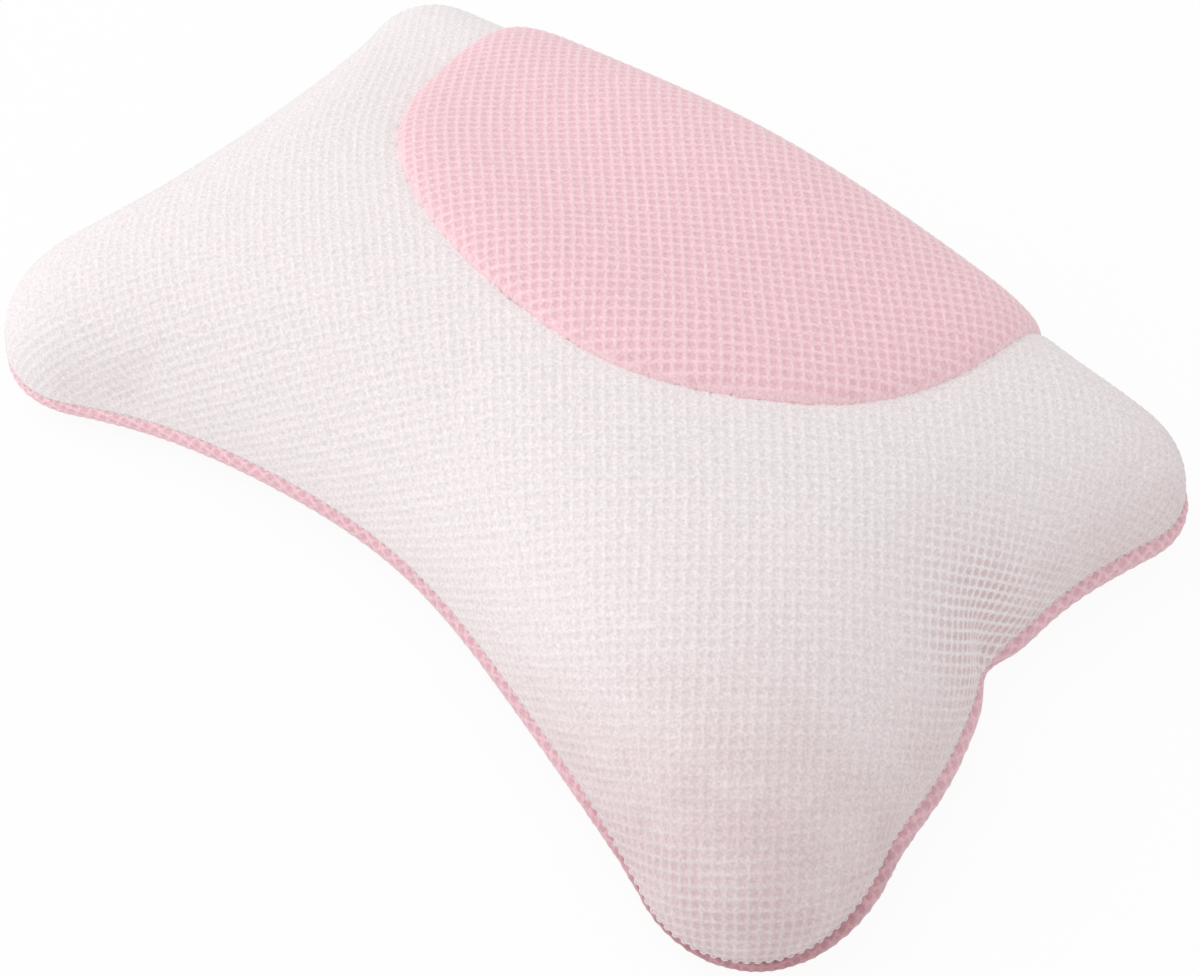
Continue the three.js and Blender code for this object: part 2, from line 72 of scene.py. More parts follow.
# Where the filling has settled unevenly, in millimetres: place in plan, pull in plan, reach
PULLS = {
    "front left lobe": (-188, -82, 2.5, 0, 35),
    "front left edge": (-110, -103, 0, 3.5, 40),
    "front middle": (-10, -87, 0, 3, 45),
    "front right edge": (75, -96, 0, -4.5, 40),
    "front right lobe's inner side": (128, -112, 0, -1, 28),
    "front right lobe": (188, -78, -5, 0, 28),
    "right waist": (180, -32, 4.5, 0, 20),
    "pinch in the right waist": (171, 10, -3, 0, 9),
    "behind the right waist": (178, 45, -1, 0, 22),
    "rear right lobe": (184, 92, 2.5, 0, 28),
    "left waist": (-174, 10, -3.5, 0, 45),
    "head seam at the right": (92, 20, 2.5, -2.5, 30),
    "head seam in front": (40, -12, 0, -3, 25),
    "head seam at the left": (-90, 25, -4, -3.5, 30),
}
# Place in plan, lift of the top there, reach
LIFTS = {
    "front left lobe": (-150, -75, -2, 60),
    "front right lobe": (150, -85, -4, 45),
    "rear left lobe": (-150, 85, -2, 50),
    "rear right lobe": (150, 85, -1.5, 50),
    "rear left of the head panel": (-70, 100, -1.5, 50),
    "rear middle of the head panel": (10, 95, 4.5, 50),
}
# Place in plan, lift of the edge seam there, reach
SEAM_LIFTS = {
    "front right lobe's outer side": (186, -75, 4, 45),
    "rear right lobe": (182, 75, 2, 45),
    "front left lobe": (-170, -105, -4, 45),
    "front right lobe's tip": (150, -118, -8, 24),
    "front right lobe's outer corner": (182, -98, -4, 16),
    "pinch in the right waist": (171, 10, -5, 6),
}
# Place in plan, further bulge of the rim there, reach
RIM_SWELLS = {
    "front right lobe's outer side": (186, -75, 2, 40),
    "rear right lobe": (182, 75, 1, 40),
    "right waist": (174, -5, 1, 25),
    "pinch in the right waist": (171, 10, -3.5, 6),
    "front right lobe's tip": (142, -117, -3, 20),
    "front right lobe's outer corner": (182, -98, -1.5, 16),
    "front left lobe": (-190, -80, -5, 30),
}
# Start and end in plan of a furrow drawn in from the edge, its depth and width
FURROWS = {
    "right waist": (171, 10, 149, 6, 3, 6),
    "front left edge": (-112, -106, -98, -93, 1.5, 6),
}
# Spots of painted shade, a deeper tone where the light falls off and in the right waist's pinch: place in
# plan, reach
SHADED_SPOTS = {
    "front right lobe": (155, -105, 40),
    "right waist": (163, 8, 17),
    "rim by the front right lobe": (172, -115, 40),
}
# Lamps: place and size in metres, and watts
LAMPS = {
    "key": ((-1.25, -0.5, 1.45), 1.6, 9),
    "fill": ((-1.2, -1.0, 0.5), 1.0, 2.8),
}
LAMP_AIM = (0, 0, 0.04)


# Settings

def length(name, description, millimetres):
    """A length setting, given in millimetres and kept in metres."""
    return FloatProperty(name=name, description=description, default=millimetres / 1000,
                         unit="LENGTH", precision=5)


def share(name, description, value):
    """A setting from 0 to 1."""
    return FloatProperty(name=name, description=description, default=value, subtype="FACTOR", min=0, max=1)


def plain(name, description, value):
    """A setting without a unit."""
    return FloatProperty(name=name, description=description, default=value, precision=4)


def degrees(name, description, value):
    """An angle setting, given in degrees and kept in radians."""
    return FloatProperty(name=name, description=description, default=math.radians(value), subtype="ANGLE")


def colour(name, description, value):
    """A colour setting, in linear red, green and blue."""
    return FloatVectorProperty(name=name, description=description, default=value,
                               subtype="COLOR", min=0, max=1)


class PillowForm(bpy.types.PropertyGroup):
    """Outline and crown of the pillow."""

    width: length("Width", "Across the tips of the front lobes", 380)
    depth: length("Depth", "From the front lobes' tips to the rear lobes' tips", 240)
    rear_step: length("Rear step", "How far each rear lobe steps in from the front one", 5)
    front_lobe: length("Front lobe", "Radius of the front lobes", 38)
    rear_lobe: length("Rear lobe", "Radius of the rear lobes", 26)
    front_hollow: length("Front hollow", "How far the front edge dips between its lobes", 34)
    rear_hollow: length("Rear hollow", "How far the rear edge dips between its lobes", 1.1)
    waist: length("Waist", "Radius of the drawn-in sides", 230)
    front_crown: length("Front crown", "Height of the front's middle over the seam", 73.5)
    rear_crown: length("Rear crown", "Height of the rear's middle over the seam", 60)
    front_shoulder: length("Front shoulder", "Distance from the edge to the full height, in front", 72.5)
    rear_shoulder: length("Rear shoulder", "Distance from the edge to the full height, at the rear", 25)
    front_fall: length("Front fall", "How much lower the front sides are than the middle", 11)
    rear_fall: length("Rear fall", "How much lower the rear sides are than the middle", 24)
    crown_setback: length("Crown setback", "From the rear edge to where front and rear forms meet", 111.5)
    crown_change: length("Crown change", "Length over which the front form turns into the rear one", 140)
    roundness: plain("Roundness", "Exponent of the shoulder's curve", 0.59)
    seam_height: length("Seam height", "Height of the edge seam", 14.3)
    edge_crease: length("Edge crease", "How far the covers turn in at the edge seam", 0.3)
    edge_crease_width: length("Edge crease width", "How far from the edge seam the covers turn in", 5)
    pressure: plain("Pressure", "Pressure of the filling in the cloth simulation", 4)
    slack: share("Slack", "How much longer the cloth is than the form that it covers", 0.003)
    cap: length("Cap", "How far the simulation may move a point", 1.5)
    evening: IntProperty(name="Evening", description="Rounds of averaging of the simulation", default=8)
    furrow_start: length("Furrow start", "Height over the seam at which a furrow is full", 8)
    seam_lift: length("Seam lift", "How far the filling pushes the whole edge seam up", 2.5)
    seam_reach: length("Seam reach", "How far under the edge seam its lifts end", 9)
    settle_height: length("Settle height", "Height over the seam at which the filling has settled fully", 40)
    frames: IntProperty(name="Frames", description="Steps of the cloth simulation", default=16)
    rows: IntProperty(name="Rows", description="Rows of the cloth's grid, front to rear", default=81)
    columns: IntProperty(name="Columns", description="Columns of the cloth's grid, side to side", default=121)


class PillowHead(bpy.types.PropertyGroup):
    """Raised panel that the head rests on."""

    half_width: length("Half width", "From the middle to the panel's straight side", 117.5)
    reach: length("Reach", "From the straight sides' ends to the panel's foremost point", 116.5)
    side: length("Side", "Length of the straight sides", 20)
    fullness: plain("Fullness", "Exponent of the panel's half oval", 2.07)
    rise: length("Rise", "How far the panel stands over the crown", 5.5)
    bulge_width: length("Bulge width", "How far from the seam the panel reaches its full rise", 24)
    crease: length("Crease", "How deep the seam sinks into the covers", 1.2)
    crease_width: length("Crease width", "How far from the seam the covers start to sink", 5)
    tuck: length("Tuck", "How far the white cover goes on under the panel's edge", 0.8)


class PillowRim(bpy.types.PropertyGroup):
    """Rolled rim of the base cover."""

    base_height: length("Base height", "Height of the flat base", 5)
    height: length("Height", "Height of the rolled rim", 9)
    bulge: length("Bulge", "How far the rim bulges out", 3.4)
    tuck: length("Tuck", "How far the rim tucks in under the pillow", 4)
    dimple: length("Dimple", "Depth of the hollow over each cup", 4)
    dimple_radius: length("Dimple radius", "Outer radius of that hollow", 25)
    seat_radius: length("Seat radius", "Radius of the flat that an eyelet clamps", 11)
    squeeze: plain("Squeeze", "How much closer the rows of holes lie round the rim than on the flat", 1.35)
    hem: length("Hem", "How far the cover goes on inside the seam", 3)
    hem_drop: length("Hem drop", "How far the hem lies under the rim's top", -0.2)
    eye_radius: length("Eye radius", "Radius of the hole for an eyelet's barrel", 5.5)
    hem_catch: share("Hem catch", "How far past the hem a hole may lie, as a share of the pitch", 0.6)
    eye_catch: share("Eye catch", "How far into an eyelet's hole a hole may lie, as a pitch's share", 0.5)


class PillowMesh(bpy.types.PropertyGroup):
    """Spacer mesh: a net of round holes in rows and columns."""

    top_pitch: length("Top pitch", "From hole to hole in the top's two covers", 3.45)
    base_pitch: length("Base pitch", "From hole to hole in the base cover", 3.75)
    angle: degrees("Angle", "Direction of the rows of holes in plan", 41.4)
    hole: share("Hole", "Size of a hole as a share of its pitch", 0.76)
    knot: length("Knot", "How far the knots stand over the cloth", 0.3)
    strand: length("Strand", "How far the strands stand over the cloth", 0.08)
    lip: length("Lip", "How far the lip of a hole lies under the cloth", 0.1)
    sink: length("Sink", "How deep a hole is", 0.45)
    taper: length("Taper", "How far from a seam the net has its full height", 3)
    hem: length("Hem", "How far from a seam the holes start to show", 1.6)
    catch: share("Catch", "How far off the cloth a hole may lie, as a share of the pitch", 0.8)


class PillowSeam(bpy.types.PropertyGroup):
    """Rows of stitches."""

    pitch: length("Pitch", "From stitch to stitch", 3.2)
    gap: length("Gap", "Cloth between two stitches", 0.7)
    radius: length("Radius", "Half the thread's thickness", 0.35)
    arch: plain("Arch", "Rise of a stitch's middle over its ends, in thread radii", 1.2)
    sunk: plain("Sunk", "How far a stitch's ends lie in the cloth, in thread radii", 0.9)
    bluntness: plain("Bluntness", "Exponent of a stitch's rounded ends", 6)
    tip: share("Tip", "Least share of its section that a stitch keeps at its ends", 0.02)
    inset: share("Inset", "How far in the edge seam lies, as a share of the edge crease", 0.4)
    sewn: share("Sewn", "Share of the head panel's straight sides that is sewn", 0.8)


class PillowFill(bpy.types.PropertyGroup):
    """Loose filling and the pad under the head panel."""

    inset: length("Inset", "From the cover's edge to the filling", 7)
    height: share("Height", "Height of the filling as a share of the cover's", 0.92)
    gap: length("Gap", "How far the filling lies under the cover", 2)
    floor: length("Floor", "Height of the filling's underside over the flat base", 6)
    least: length("Least", "Least thickness of the filling", 0.5)
    lump: length("Lump", "Height of the filling's lumps", 1.2)
    lump_size: length("Lump size", "Size of the filling's lumps", 30)
    hollow: length("Hollow", "Height of the hollow over each cup's fittings", 12)
    hollow_inner: length("Hollow inner", "Radius at which that hollow starts to close", 14)
    hollow_outer: length("Hollow outer", "Radius at which that hollow has closed", 26)
    pad_room: length("Pad room", "Depth of the room for the pad", 16)
    pad_share: share("Pad share", "Greatest depth of that room as a share of the filling's height", 0.4)
    pad_inner: plain("Pad inner", "Share of the head panel at which that room starts to close", 0.82)
    pad_outer: plain("Pad outer", "Share of the head panel at which that room has closed", 1.02)
    pad_size: share("Pad size", "Size of the pad as a share of the head panel's", 0.95)
    pad_rear: share("Pad rear", "How far the pad runs along the panel's straight sides", 0.45)
    pad_gap: length("Pad gap", "From the head panel's seam level to the pad's top", 4)
    pad_sink: length("Pad sink", "From there to the middle of the pad", 7)
    pad_half: length("Pad half", "Half the pad's thickness", 5.5)
    pad_edge: plain("Pad edge", "Exponent of the pad's rounded edge", 6)


class PillowCup(bpy.types.PropertyGroup):
    """Suction cups and what holds them."""

    front_x: length("Front x", "Front cups from the middle", 136)
    front_y: length("Front y", "Front cups along the depth", -80.4)
    rear_x: length("Rear x", "Rear cups from the middle", 143)
    rear_y: length("Rear y", "Rear cups along the depth", 80.4)
    radius: length("Radius", "Outer radius of a cup's lip", 21)
    lip: length("Lip", "Width of the flat lip", 2.6)
    edge: length("Edge", "Thickness of the lip", 1.1)
    hollow: length("Hollow", "Height of the hollow under the bell", 5)
    shoulder: length("Shoulder", "Height of the bell's flat shoulder", 7.4)
    shoulder_radius: length("Shoulder radius", "Radius of the bell's flat shoulder", 8)
    neck_radius: length("Neck radius", "Radius of the neck in the eyelet", 3.7)
    head_radius: length("Head radius", "Radius of the head that keeps the neck in", 6.4)
    head_bottom: length("Head bottom", "Height of the head's underside", 17.4)
    top: length("Top", "Height of the head's top", 21.2)
    tab_reach: length("Tab reach", "How far the tab stands out", 6)
    tab_width: length("Tab width", "Width of the tab", 9)
    tab_thickness: length("Tab thickness", "Thickness of the tab", 1.5)
    bore_radius: length("Bore radius", "Inner radius of an eyelet", 4.2)
    eyelet_wall: length("Eyelet wall", "Thickness of an eyelet's metal", 1)
    flange_radius: length("Flange radius", "Radius of an eyelet's flange", 9)
    flange_bottom: length("Flange bottom", "Height of the flange's underside", 7.7)
    roll_radius: length("Roll radius", "Radius of an eyelet's rolled edge", 7.4)
    roll_bottom: length("Roll bottom", "Height of the rolled edge's underside", 16.1)
    patch_radius: length("Patch radius", "Radius of a reinforcing patch", 14)
    patch_bottom: length("Patch bottom", "Height of a patch's underside", 13.3)
    patch_thickness: length("Patch thickness", "Thickness of a patch", 1.2)
    patch_gap: length("Patch gap", "From an eyelet's barrel to its patch", 0.3)
    soft: length("Soft", "Rounding of a cup's small edges", 0.3)
    neck_round: length("Neck round", "Rounding between a cup's shoulder and neck", 1)
    flange_soft: length("Flange soft", "Rounding of the flange's edges", 0.4)
    barrel_soft: length("Barrel soft", "Rounding of the barrel's edges", 0.2)
    roll_soft: length("Roll soft", "Rounding of the rolled edge", 0.45)
    patch_soft: length("Patch soft", "Rounding of a patch's edges", 0.5)
    lap: length("Lap", "How far the barrel ends inside flange and roll", 0.1)
    still: plain("Still", "Share of a cup's radius up to which the base stays still over it", 0.7)
    loose: plain("Loose", "Share of a cup's radius from which the base moves freely", 1.6)


class PillowColours(bpy.types.PropertyGroup):
    """Colours of the covers, threads and fittings."""

    white_strand: colour("White strand", "Strands of the white mesh", (0.93, 0.86, 0.865))
    white_hole: colour("White hole", "Holes of the white mesh", (0.91, 0.835, 0.84))
    # Painted shade: the white mesh's colours where it is shaded, pink-tinted; near the seam they also stand
    # for the pink base showing through
    shaded_strand: colour("Blush strand", "Strands of the white mesh over the pink base", (0.78, 0.66, 0.665))
    shaded_hole: colour("Blush hole", "Holes of the white mesh over the pink base", (0.73, 0.55, 0.565))
    pink_strand: colour("Pink strand", "Strands of the head panel", (0.985, 0.685, 0.73))
    pink_hole: colour("Pink hole", "Holes of the head panel", (0.90, 0.56, 0.61))
    rim_strand: colour("Rim strand", "Strands of the base cover", (0.99, 0.66, 0.72))
    rim_hole: colour("Rim hole", "Holes of the base cover", (0.87, 0.52, 0.58))
    # Painted shade: the base cover's colours where it is shaded, on its right side and by the front right
    # lobe
    shaded_rim_strand: colour("Deep strand", "Strands of the base cover at its deepest tone", (0.56, 0.29, 0.32))
    shaded_rim_hole: colour("Deep hole", "Holes of the base cover at its deepest tone", (0.46, 0.22, 0.25))
    thread: colour("Thread", "Sewing thread", (0.90, 0.82, 0.83))
    fibre: colour("Fibre", "Loose polyester fibre", (0.92, 0.90, 0.87))
    vinyl: colour("Vinyl", "Clear soft vinyl", (0.86, 0.90, 0.92))
    nickel: colour("Nickel", "Nickel plating", (0.72, 0.71, 0.68))


class PillowPaintedShade(bpy.types.PropertyGroup):
    """Painted shade: how much deeper the covers' tone gets towards the right, away from the lamps, on the
    front right lobe, in the right waist's pinch and in the furrows.
    """

    # Painted shade on the white cover, deepest low down on the right side, which faces away from the lamps
    start: length("Start", "Where across the pillow the white cover's tone starts to deepen", -50)
    end: length("End", "Where across the pillow it is deepest", 150)
    side: share("Side", "How deep it gets there, low down", 0.6)
    low: length("Low", "Height over the seam up to which it shows in full", 2)
    left_height: length("Left height", "Height over the seam at which it ends on the left", 30)
    right_height: length("Right height", "Height over the seam at which it ends on the right", 50)
    # Painted shade on the front right lobe, where the light falls off
    lobe_strand: share("Lobe strand", "How deep it gets on the front right lobe's strands", 0.95)
    lobe_hole: share("Lobe hole", "How deep it gets in the front right lobe's holes", 0.6)
    # Painted shade in the holes of the right waist's pinch and of the furrows
    waist: share("Waist", "How much deeper the right waist's holes are than its strands", 0.7)
    furrow: plain("Furrow", "How much deeper the holes get for each metre of a furrow's depth", 100)
    # Painted shade on the rim, deeper on its right side and by the front right lobe
    rim_start: length("Rim start", "Where across the pillow the rim's tone starts to deepen", -120)
    rim_end: length("Rim end", "Where across the pillow it is deepest", 20)
    rim_side: share("Rim side", "How deep it gets there", 0.25)
    rim_lobe: share("Rim lobe", "How deep it gets by the front right lobe", 0.8)


class PillowStage(bpy.types.PropertyGroup):
    """Camera, light and floor."""

    azimuth: degrees("Azimuth", "Camera's direction round the pillow", 41)
    elevation: degrees("Elevation", "Camera's height over the floor", 54.4)
    distance: length("Distance", "From the camera to its aim", 523)
    aim: FloatVectorProperty(name="Aim", description="Point that the camera looks at",
                             default=(0.045, -0.0335, 0.0437), subtype="TRANSLATION", unit="LENGTH")
    lens: plain("Lens", "Focal length in millimetres on a 36 mm sensor", 49.1)
    glow: share("Glow", "How white the floor looks to the camera, whatever light falls on it", 0.93)
    paper: share("Paper", "How much light the floor throws back", 0.92)
    sky: plain("Sky", "Strength of the light from all round", 0.79)
    half: length("Half", "Half the floor's width", 8000)
    drop: length("Drop", "How far the floor lies under the cups' lips", 0.2)


# Plane curves and smooth steps

def lerp(a, b, t):
    """From a to b by the share t."""
    return a + (b - a) * t


def smoothstep(x, low, high):
    """From 0 at the low limit to 1 at the high one, level at both: 3 t squared less 2 t cubed."""
    t = np.clip((x - low) / (high - low), 0, 1)
    return t * t * (3 - 2 * t)


def running(steps):
    """Running total of steps, from nothing."""
    return np.concatenate([[0], np.cumsum(steps)])


def unit(vectors):
    """Vectors made one long."""
    return vectors / np.maximum(np.linalg.norm(vectors, axis=-1, keepdims=True), 1e-12)


def outline_arcs(form):
    """Right half of the outline as tangent arcs, front middle to rear middle: each lobe is a circle, each
    hollow and waist a larger circle that touches two lobes from outside. Rows of centre, radius, sign,
    from, to."""
    half = form.depth / 2
    front_lobe = np.array([form.width / 2 - form.front_lobe, form.front_lobe - half])
    rear_lobe = np.array([form.width / 2 - form.rear_step - form.rear_lobe, half - form.rear_lobe])

    def hollow(lobe, radius, dip):
        return (lobe[0] ** 2 + (radius - dip) ** 2 - radius ** 2) / (2 * dip)

    def angle(centre, point):
        return math.atan2(point[1] - centre[1], point[0] - centre[0])

    front_radius = hollow(front_lobe, form.front_lobe, form.front_hollow)
    rear_radius = hollow(rear_lobe, form.rear_lobe, form.rear_hollow)
    front = np.array([0, form.front_hollow - half - front_radius])
    rear = np.array([0, half - form.rear_hollow + rear_radius])
    along = rear_lobe - front_lobe
    span = np.hypot(*along)
    along = along / span
    to_front, to_rear = form.waist + form.front_lobe, form.waist + form.rear_lobe
    foot = (to_front ** 2 - to_rear ** 2 + span ** 2) / (2 * span)
    waist = front_lobe + along * foot + np.array([along[1], -along[0]]) * math.sqrt(to_front ** 2 - foot ** 2)
    turn = 2 * math.pi
    return [
        (front, front_radius, -1, math.pi / 2, angle(front, front_lobe)),
        (front_lobe, form.front_lobe, 1, angle(front_lobe, front), angle(front_lobe, waist)),
        (waist, form.waist, -1, turn + angle(waist, front_lobe), angle(waist, rear_lobe)),
        (rear_lobe, form.rear_lobe, 1, angle(rear_lobe, waist), angle(rear_lobe, rear)),
        (rear, rear_radius, -1, angle(rear, rear_lobe), -math.pi / 2),
    ]


def outline(form, offset=0.0, spacing=0.002):
    """Closed outline moved outwards by an offset: lobes grow and hollows tighten about the same centres. It
    runs counter-clockwise from the front middle, and outlines of all offsets have points that belong
    together."""
    parts = []
    for centre, radius, sign, start, end in outline_arcs(form):
        steps = max(2, int(math.ceil(radius * abs(end - start) / spacing)))
        angles = np.linspace(start, end, steps, endpoint=False)
        parts.append(centre + (radius + sign * offset) * np.stack([np.cos(angles), np.sin(angles)], 1))
    centre, radius, sign, _, end = outline_arcs(form)[-1]
    last = centre + (radius + sign * offset) * np.array([[math.cos(end), math.sin(end)]])
    half = np.concatenate(parts + [last])
    return np.concatenate([half, half[-2:0:-1] * [-1, 1]])


def resample(curve, shares):
    """Points of an open curve at shares of its length."""
    steps = np.hypot(*np.diff(curve, axis=0).T)
    at = running(steps)
    return np.stack([np.interp(shares * at[-1], at, curve[:, k]) for k in (0, 1)], 1)


def edge_distance(points, edge):
    """Mean-value distance from points to a closed outline: two over the sum, over its edges, of the tangent
    of half the angle that an edge is seen under times the sum of the inverse distances to its ends."""
    total = np.zeros(len(points))
    following = np.roll(edge, -1, axis=0)
    for chunk in np.array_split(np.arange(len(points)), max(1, len(points) // 1500)):
        a = edge[None] - points[chunk, None]
        b = following[None] - points[chunk, None]
        ra, rb = np.hypot(a[..., 0], a[..., 1]), np.hypot(b[..., 0], b[..., 1])
        cross = a[..., 0] * b[..., 1] - a[..., 1] * b[..., 0]
        dot = (a * b).sum(-1)
        total[chunk] = (cross / np.maximum(ra * rb + dot, 1e-15) * (1 / ra + 1 / rb)).sum(1)
    return 2 / total


# The crowned top surface

def even_shares(reach, height, shoulder, roundness, count):
    """Shares from edge to edge whose steps are about even along a cross-section's arc rather than in plan."""
    q = np.linspace(0, 1, 4001) ** 2.5
    z = height * (1 - (1 - np.minimum(q * reach / shoulder, 1)) ** 2) ** roundness
    arc = running(np.hypot(np.diff(q * reach), np.diff(z)))
    half = np.interp(np.linspace(0, 1, count // 2 + 1), arc / arc[-1], q)
    return np.concatenate([half / 2, 1 - half[-2::-1] / 2])


def plan_grid(form):
    """Plan of the top surface as a Coons patch: the four edges between the lobes' tips are blended across,
    with grid lines closer in plan where the surface is steep. Rows run to the rear and columns to the
    right."""
    edge = outline(form, 0, 0.0005)
    arcs = outline_arcs(form)
    tips = [arcs[i][0] + arcs[i][1] * np.array([1, s]) / math.sqrt(2) for i, s in ((1, -1), (3, 1))]
    right = [int(np.argmin(np.hypot(*(edge - tip).T))) for tip in tips]
    left = [len(edge) - i for i in right]
    looped = np.concatenate([edge, edge[:1]])
    front = np.concatenate([looped[left[0]:], edge[1:right[0] + 1]])
    u = even_shares(form.width / 2, form.front_crown, form.front_shoulder, form.roundness, form.columns)
    v = even_shares(form.depth / 2, form.front_crown, form.front_shoulder, form.roundness, form.rows)
    low = resample(front, u)
    high = resample(looped[right[1]:left[1] + 1][::-1], u)
    east = resample(looped[right[0]:right[1] + 1], v)
    west = resample(looped[left[1]:left[0] + 1][::-1], v)
    u, v = u[None, :, None], v[:, None, None]
    corners = ((1 - u) * (1 - v) * low[0] + u * (1 - v) * low[-1]
               + (1 - u) * v * high[0] + u * v * high[-1])
    return (1 - v) * low[None] + v * high[None] + (1 - u) * west[:, None] + u * east[:, None] - corners


def crown(form, points):
    """Height over the seam: the full height, lower towards the sides, times a rounded shoulder of the
    distance to the edge. The front's height and shoulder turn smoothly into the rear's."""
    middle = form.depth / 2 - form.crown_setback
    rear = smoothstep(points[:, 1], middle - form.crown_change / 2, middle + form.crown_change / 2)
    side = (points[:, 0] / (form.width / 2)) ** 2
    fall = lerp(form.front_fall, form.rear_fall, rear)
    height = lerp(form.front_crown, form.rear_crown, rear) - side * fall
    shoulder = lerp(form.front_shoulder, form.rear_shoulder, rear)
    inwards = np.clip(edge_distance(points, outline(form)) / shoulder, 0, 1)
    return height * (1 - (1 - inwards) ** 2) ** form.roundness


def top_surface(form):
    """Grid of points on the crowned top, rows by columns by 3, with its border on the edge seam."""
    plan = plan_grid(form)
    z = np.zeros(plan.shape[:2])
    z[1:-1, 1:-1] = crown(form, plan[1:-1, 1:-1].reshape(-1, 2)).reshape(z[1:-1, 1:-1].shape)
    return np.concatenate([plan, (z + form.seam_height)[..., None]], -1)


def blown_surface(form):
    """The top surface after the cloth simulation, worked out once."""
    if "top" not in BLOWN:
        surface = top_surface(form)
        BLOWN["top"] = swell(form, surface)
    return BLOWN["top"]


def head_start(form, head):
    """Where along the depth the head panel's half oval ends and its straight sides start."""
    return form.depth / 2 - form.rear_hollow - head.side


def head_measure(form, head, points):
    """Superellipse measure of the head panel in plan: 1 on its seam, less inside. Ahead of the straight
    sides it is the half oval's, beside them the share of the half width."""
    top = head_start(form, head)
    along = np.maximum(top - points[:, 1], 0) / head.reach
    across = np.abs(points[:, 0] / head.half_width)
    return (across ** head.fullness + along ** head.fullness) ** (1 / head.fullness)


def head_distance(form, head, points):
    """How far points lie outside the head panel's seam in plan, less than nothing inside it, measured
    straight out from the oval's middle and, beside the straight sides, straight across."""
    top = head_start(form, head)
    reach = np.hypot(points[:, 0], np.minimum(points[:, 1] - top, 0))
    measure = head_measure(form, head, points)
    seam = np.where(reach > 1e-6, reach / np.maximum(measure, 1e-9), head.half_width)
    return reach - seam


def head_rise(form, head, points):
    """Rise of the head panel over the crown: a quarter round over the bulge's width from its seam, which
    ends at the rear edge."""
    top = head_start(form, head)
    rear = np.clip((points[:, 1] - top) / (form.depth / 2 - top), 0, 1)
    inside = np.maximum(-head_distance(form, head, points), 0)
    rounded = np.sqrt(1 - (1 - np.minimum(inside / head.bulge_width, 1)) ** 2)
    return head.rise * rounded * np.sqrt(1 - rear ** 2)


def onto_head_seam(form, head, points, limit):
    """Points moved in plan, away from or towards the oval's middle, to where the head panel's measure is
    the limit."""
    top = head_start(form, head)
    scale = limit / np.maximum(head_measure(form, head, points), 1e-6)
    moved = points * scale[:, None]
    below = points[:, 1] < top
    moved[:, 1] = np.where(below, top + (points[:, 1] - top) * scale, points[:, 1])
    return moved


# Grids: sampling, inverting and flattening

def cubic_weights(t):
    """Weights of four neighbours for a smooth curve through grid points, and the weights of its slope."""
    t2, t3 = t * t, t * t * t
    value = np.stack([-t + 2 * t2 - t3, 2 - 5 * t2 + 3 * t3, t + 4 * t2 - 3 * t3, -t2 + t3], -1) / 2
    slope = np.stack([-1 + 4 * t - 3 * t2, -10 * t + 9 * t2, 1 + 8 * t - 9 * t2, -2 * t + 3 * t2], -1) / 2
    return value, slope


def sample(grid, at):
    """Values of a grid at fractional (column, row) places, and their slopes along columns and rows."""
    rows, columns = grid.shape[:2]
    padded = np.concatenate([2 * grid[:1] - grid[1:2], grid, 2 * grid[-1:] - grid[-2:-1]])
    before, after = 2 * padded[:, :1] - padded[:, 1:2], 2 * padded[:, -1:] - padded[:, -2:-1]
    padded = np.concatenate([before, padded, after], 1)
    cell = np.clip(np.floor(at).astype(int), 0, [columns - 2, rows - 2])
    across, across_slope = cubic_weights(at[:, 0] - cell[:, 0])
    along, along_slope = cubic_weights(at[:, 1] - cell[:, 1])
    near = np.arange(4)
    block = padded[(cell[:, 1, None] + near)[:, :, None], (cell[:, 0, None] + near)[:, None, :]]
    value = np.einsum("nj,ni,njik->nk", along, across, block)
    by_column = np.einsum("nj,ni,njik->nk", along, across_slope, block)
    by_row = np.einsum("nj,ni,njik->nk", along_slope, across, block)
    return value, by_column, by_row


def straight_sample(grid, at):
    """Values of a grid between its four nearest points, and their slopes. Outside, the border's cells go
    on."""
    rows, columns = grid.shape[:2]
    cell = np.clip(np.floor(at).astype(int), 0, [columns - 2, rows - 2])
    u, v = (at - cell)[:, :1], (at - cell)[:, 1:]
    first = cell[:, 1] * columns + cell[:, 0]
    points = grid.reshape(-1, grid.shape[2])
    p, q, r, s = points[first], points[first + 1], points[first + columns], points[first + columns + 1]
    by_column, by_row = lerp(q - p, s - r, v), lerp(r - p, s - q, u)
    return lerp(lerp(p, q, u), lerp(r, s, u), v), by_column, by_row


def locate(grid, targets, start=None, rounds=8):
    """Fractional (column, row) places where a grid of plane points meets the targets, by Newton's steps
    from the nearest grid point or from given places. A target outside the grid gets a place a little
    outside it."""
    rows, columns = grid.shape[:2]
    if start is None:
        coarse = grid[::COARSE, ::COARSE].reshape(-1, 2)
        nearest = np.concatenate([
            np.argmin(((part[:, None] - coarse[None]) ** 2).sum(-1), 1)
            for part in np.array_split(targets, max(1, len(targets) // 1000))
        ])
        width = len(range(0, columns, COARSE))
        start = np.stack([nearest % width, nearest // width], 1) * float(COARSE)
        rounds += 6
    at = start.copy()
    for _ in range(rounds):
        value, du, dv = straight_sample(grid, at)
        miss = targets - value
        det = du[:, 0] * dv[:, 1] - du[:, 1] * dv[:, 0]
        det = np.where(np.abs(det) < 1e-9, 1e-9, det)
        step = np.stack([miss[:, 0] * dv[:, 1] - miss[:, 1] * dv[:, 0],
                         du[:, 0] * miss[:, 1] - du[:, 1] * miss[:, 0]], 1) / det[:, None]
        at = at + np.clip(step, -STRIDE, STRIDE)
        at = np.clip(at, -MARGIN, [columns - 1 + MARGIN, rows - 1 + MARGIN])
    return at


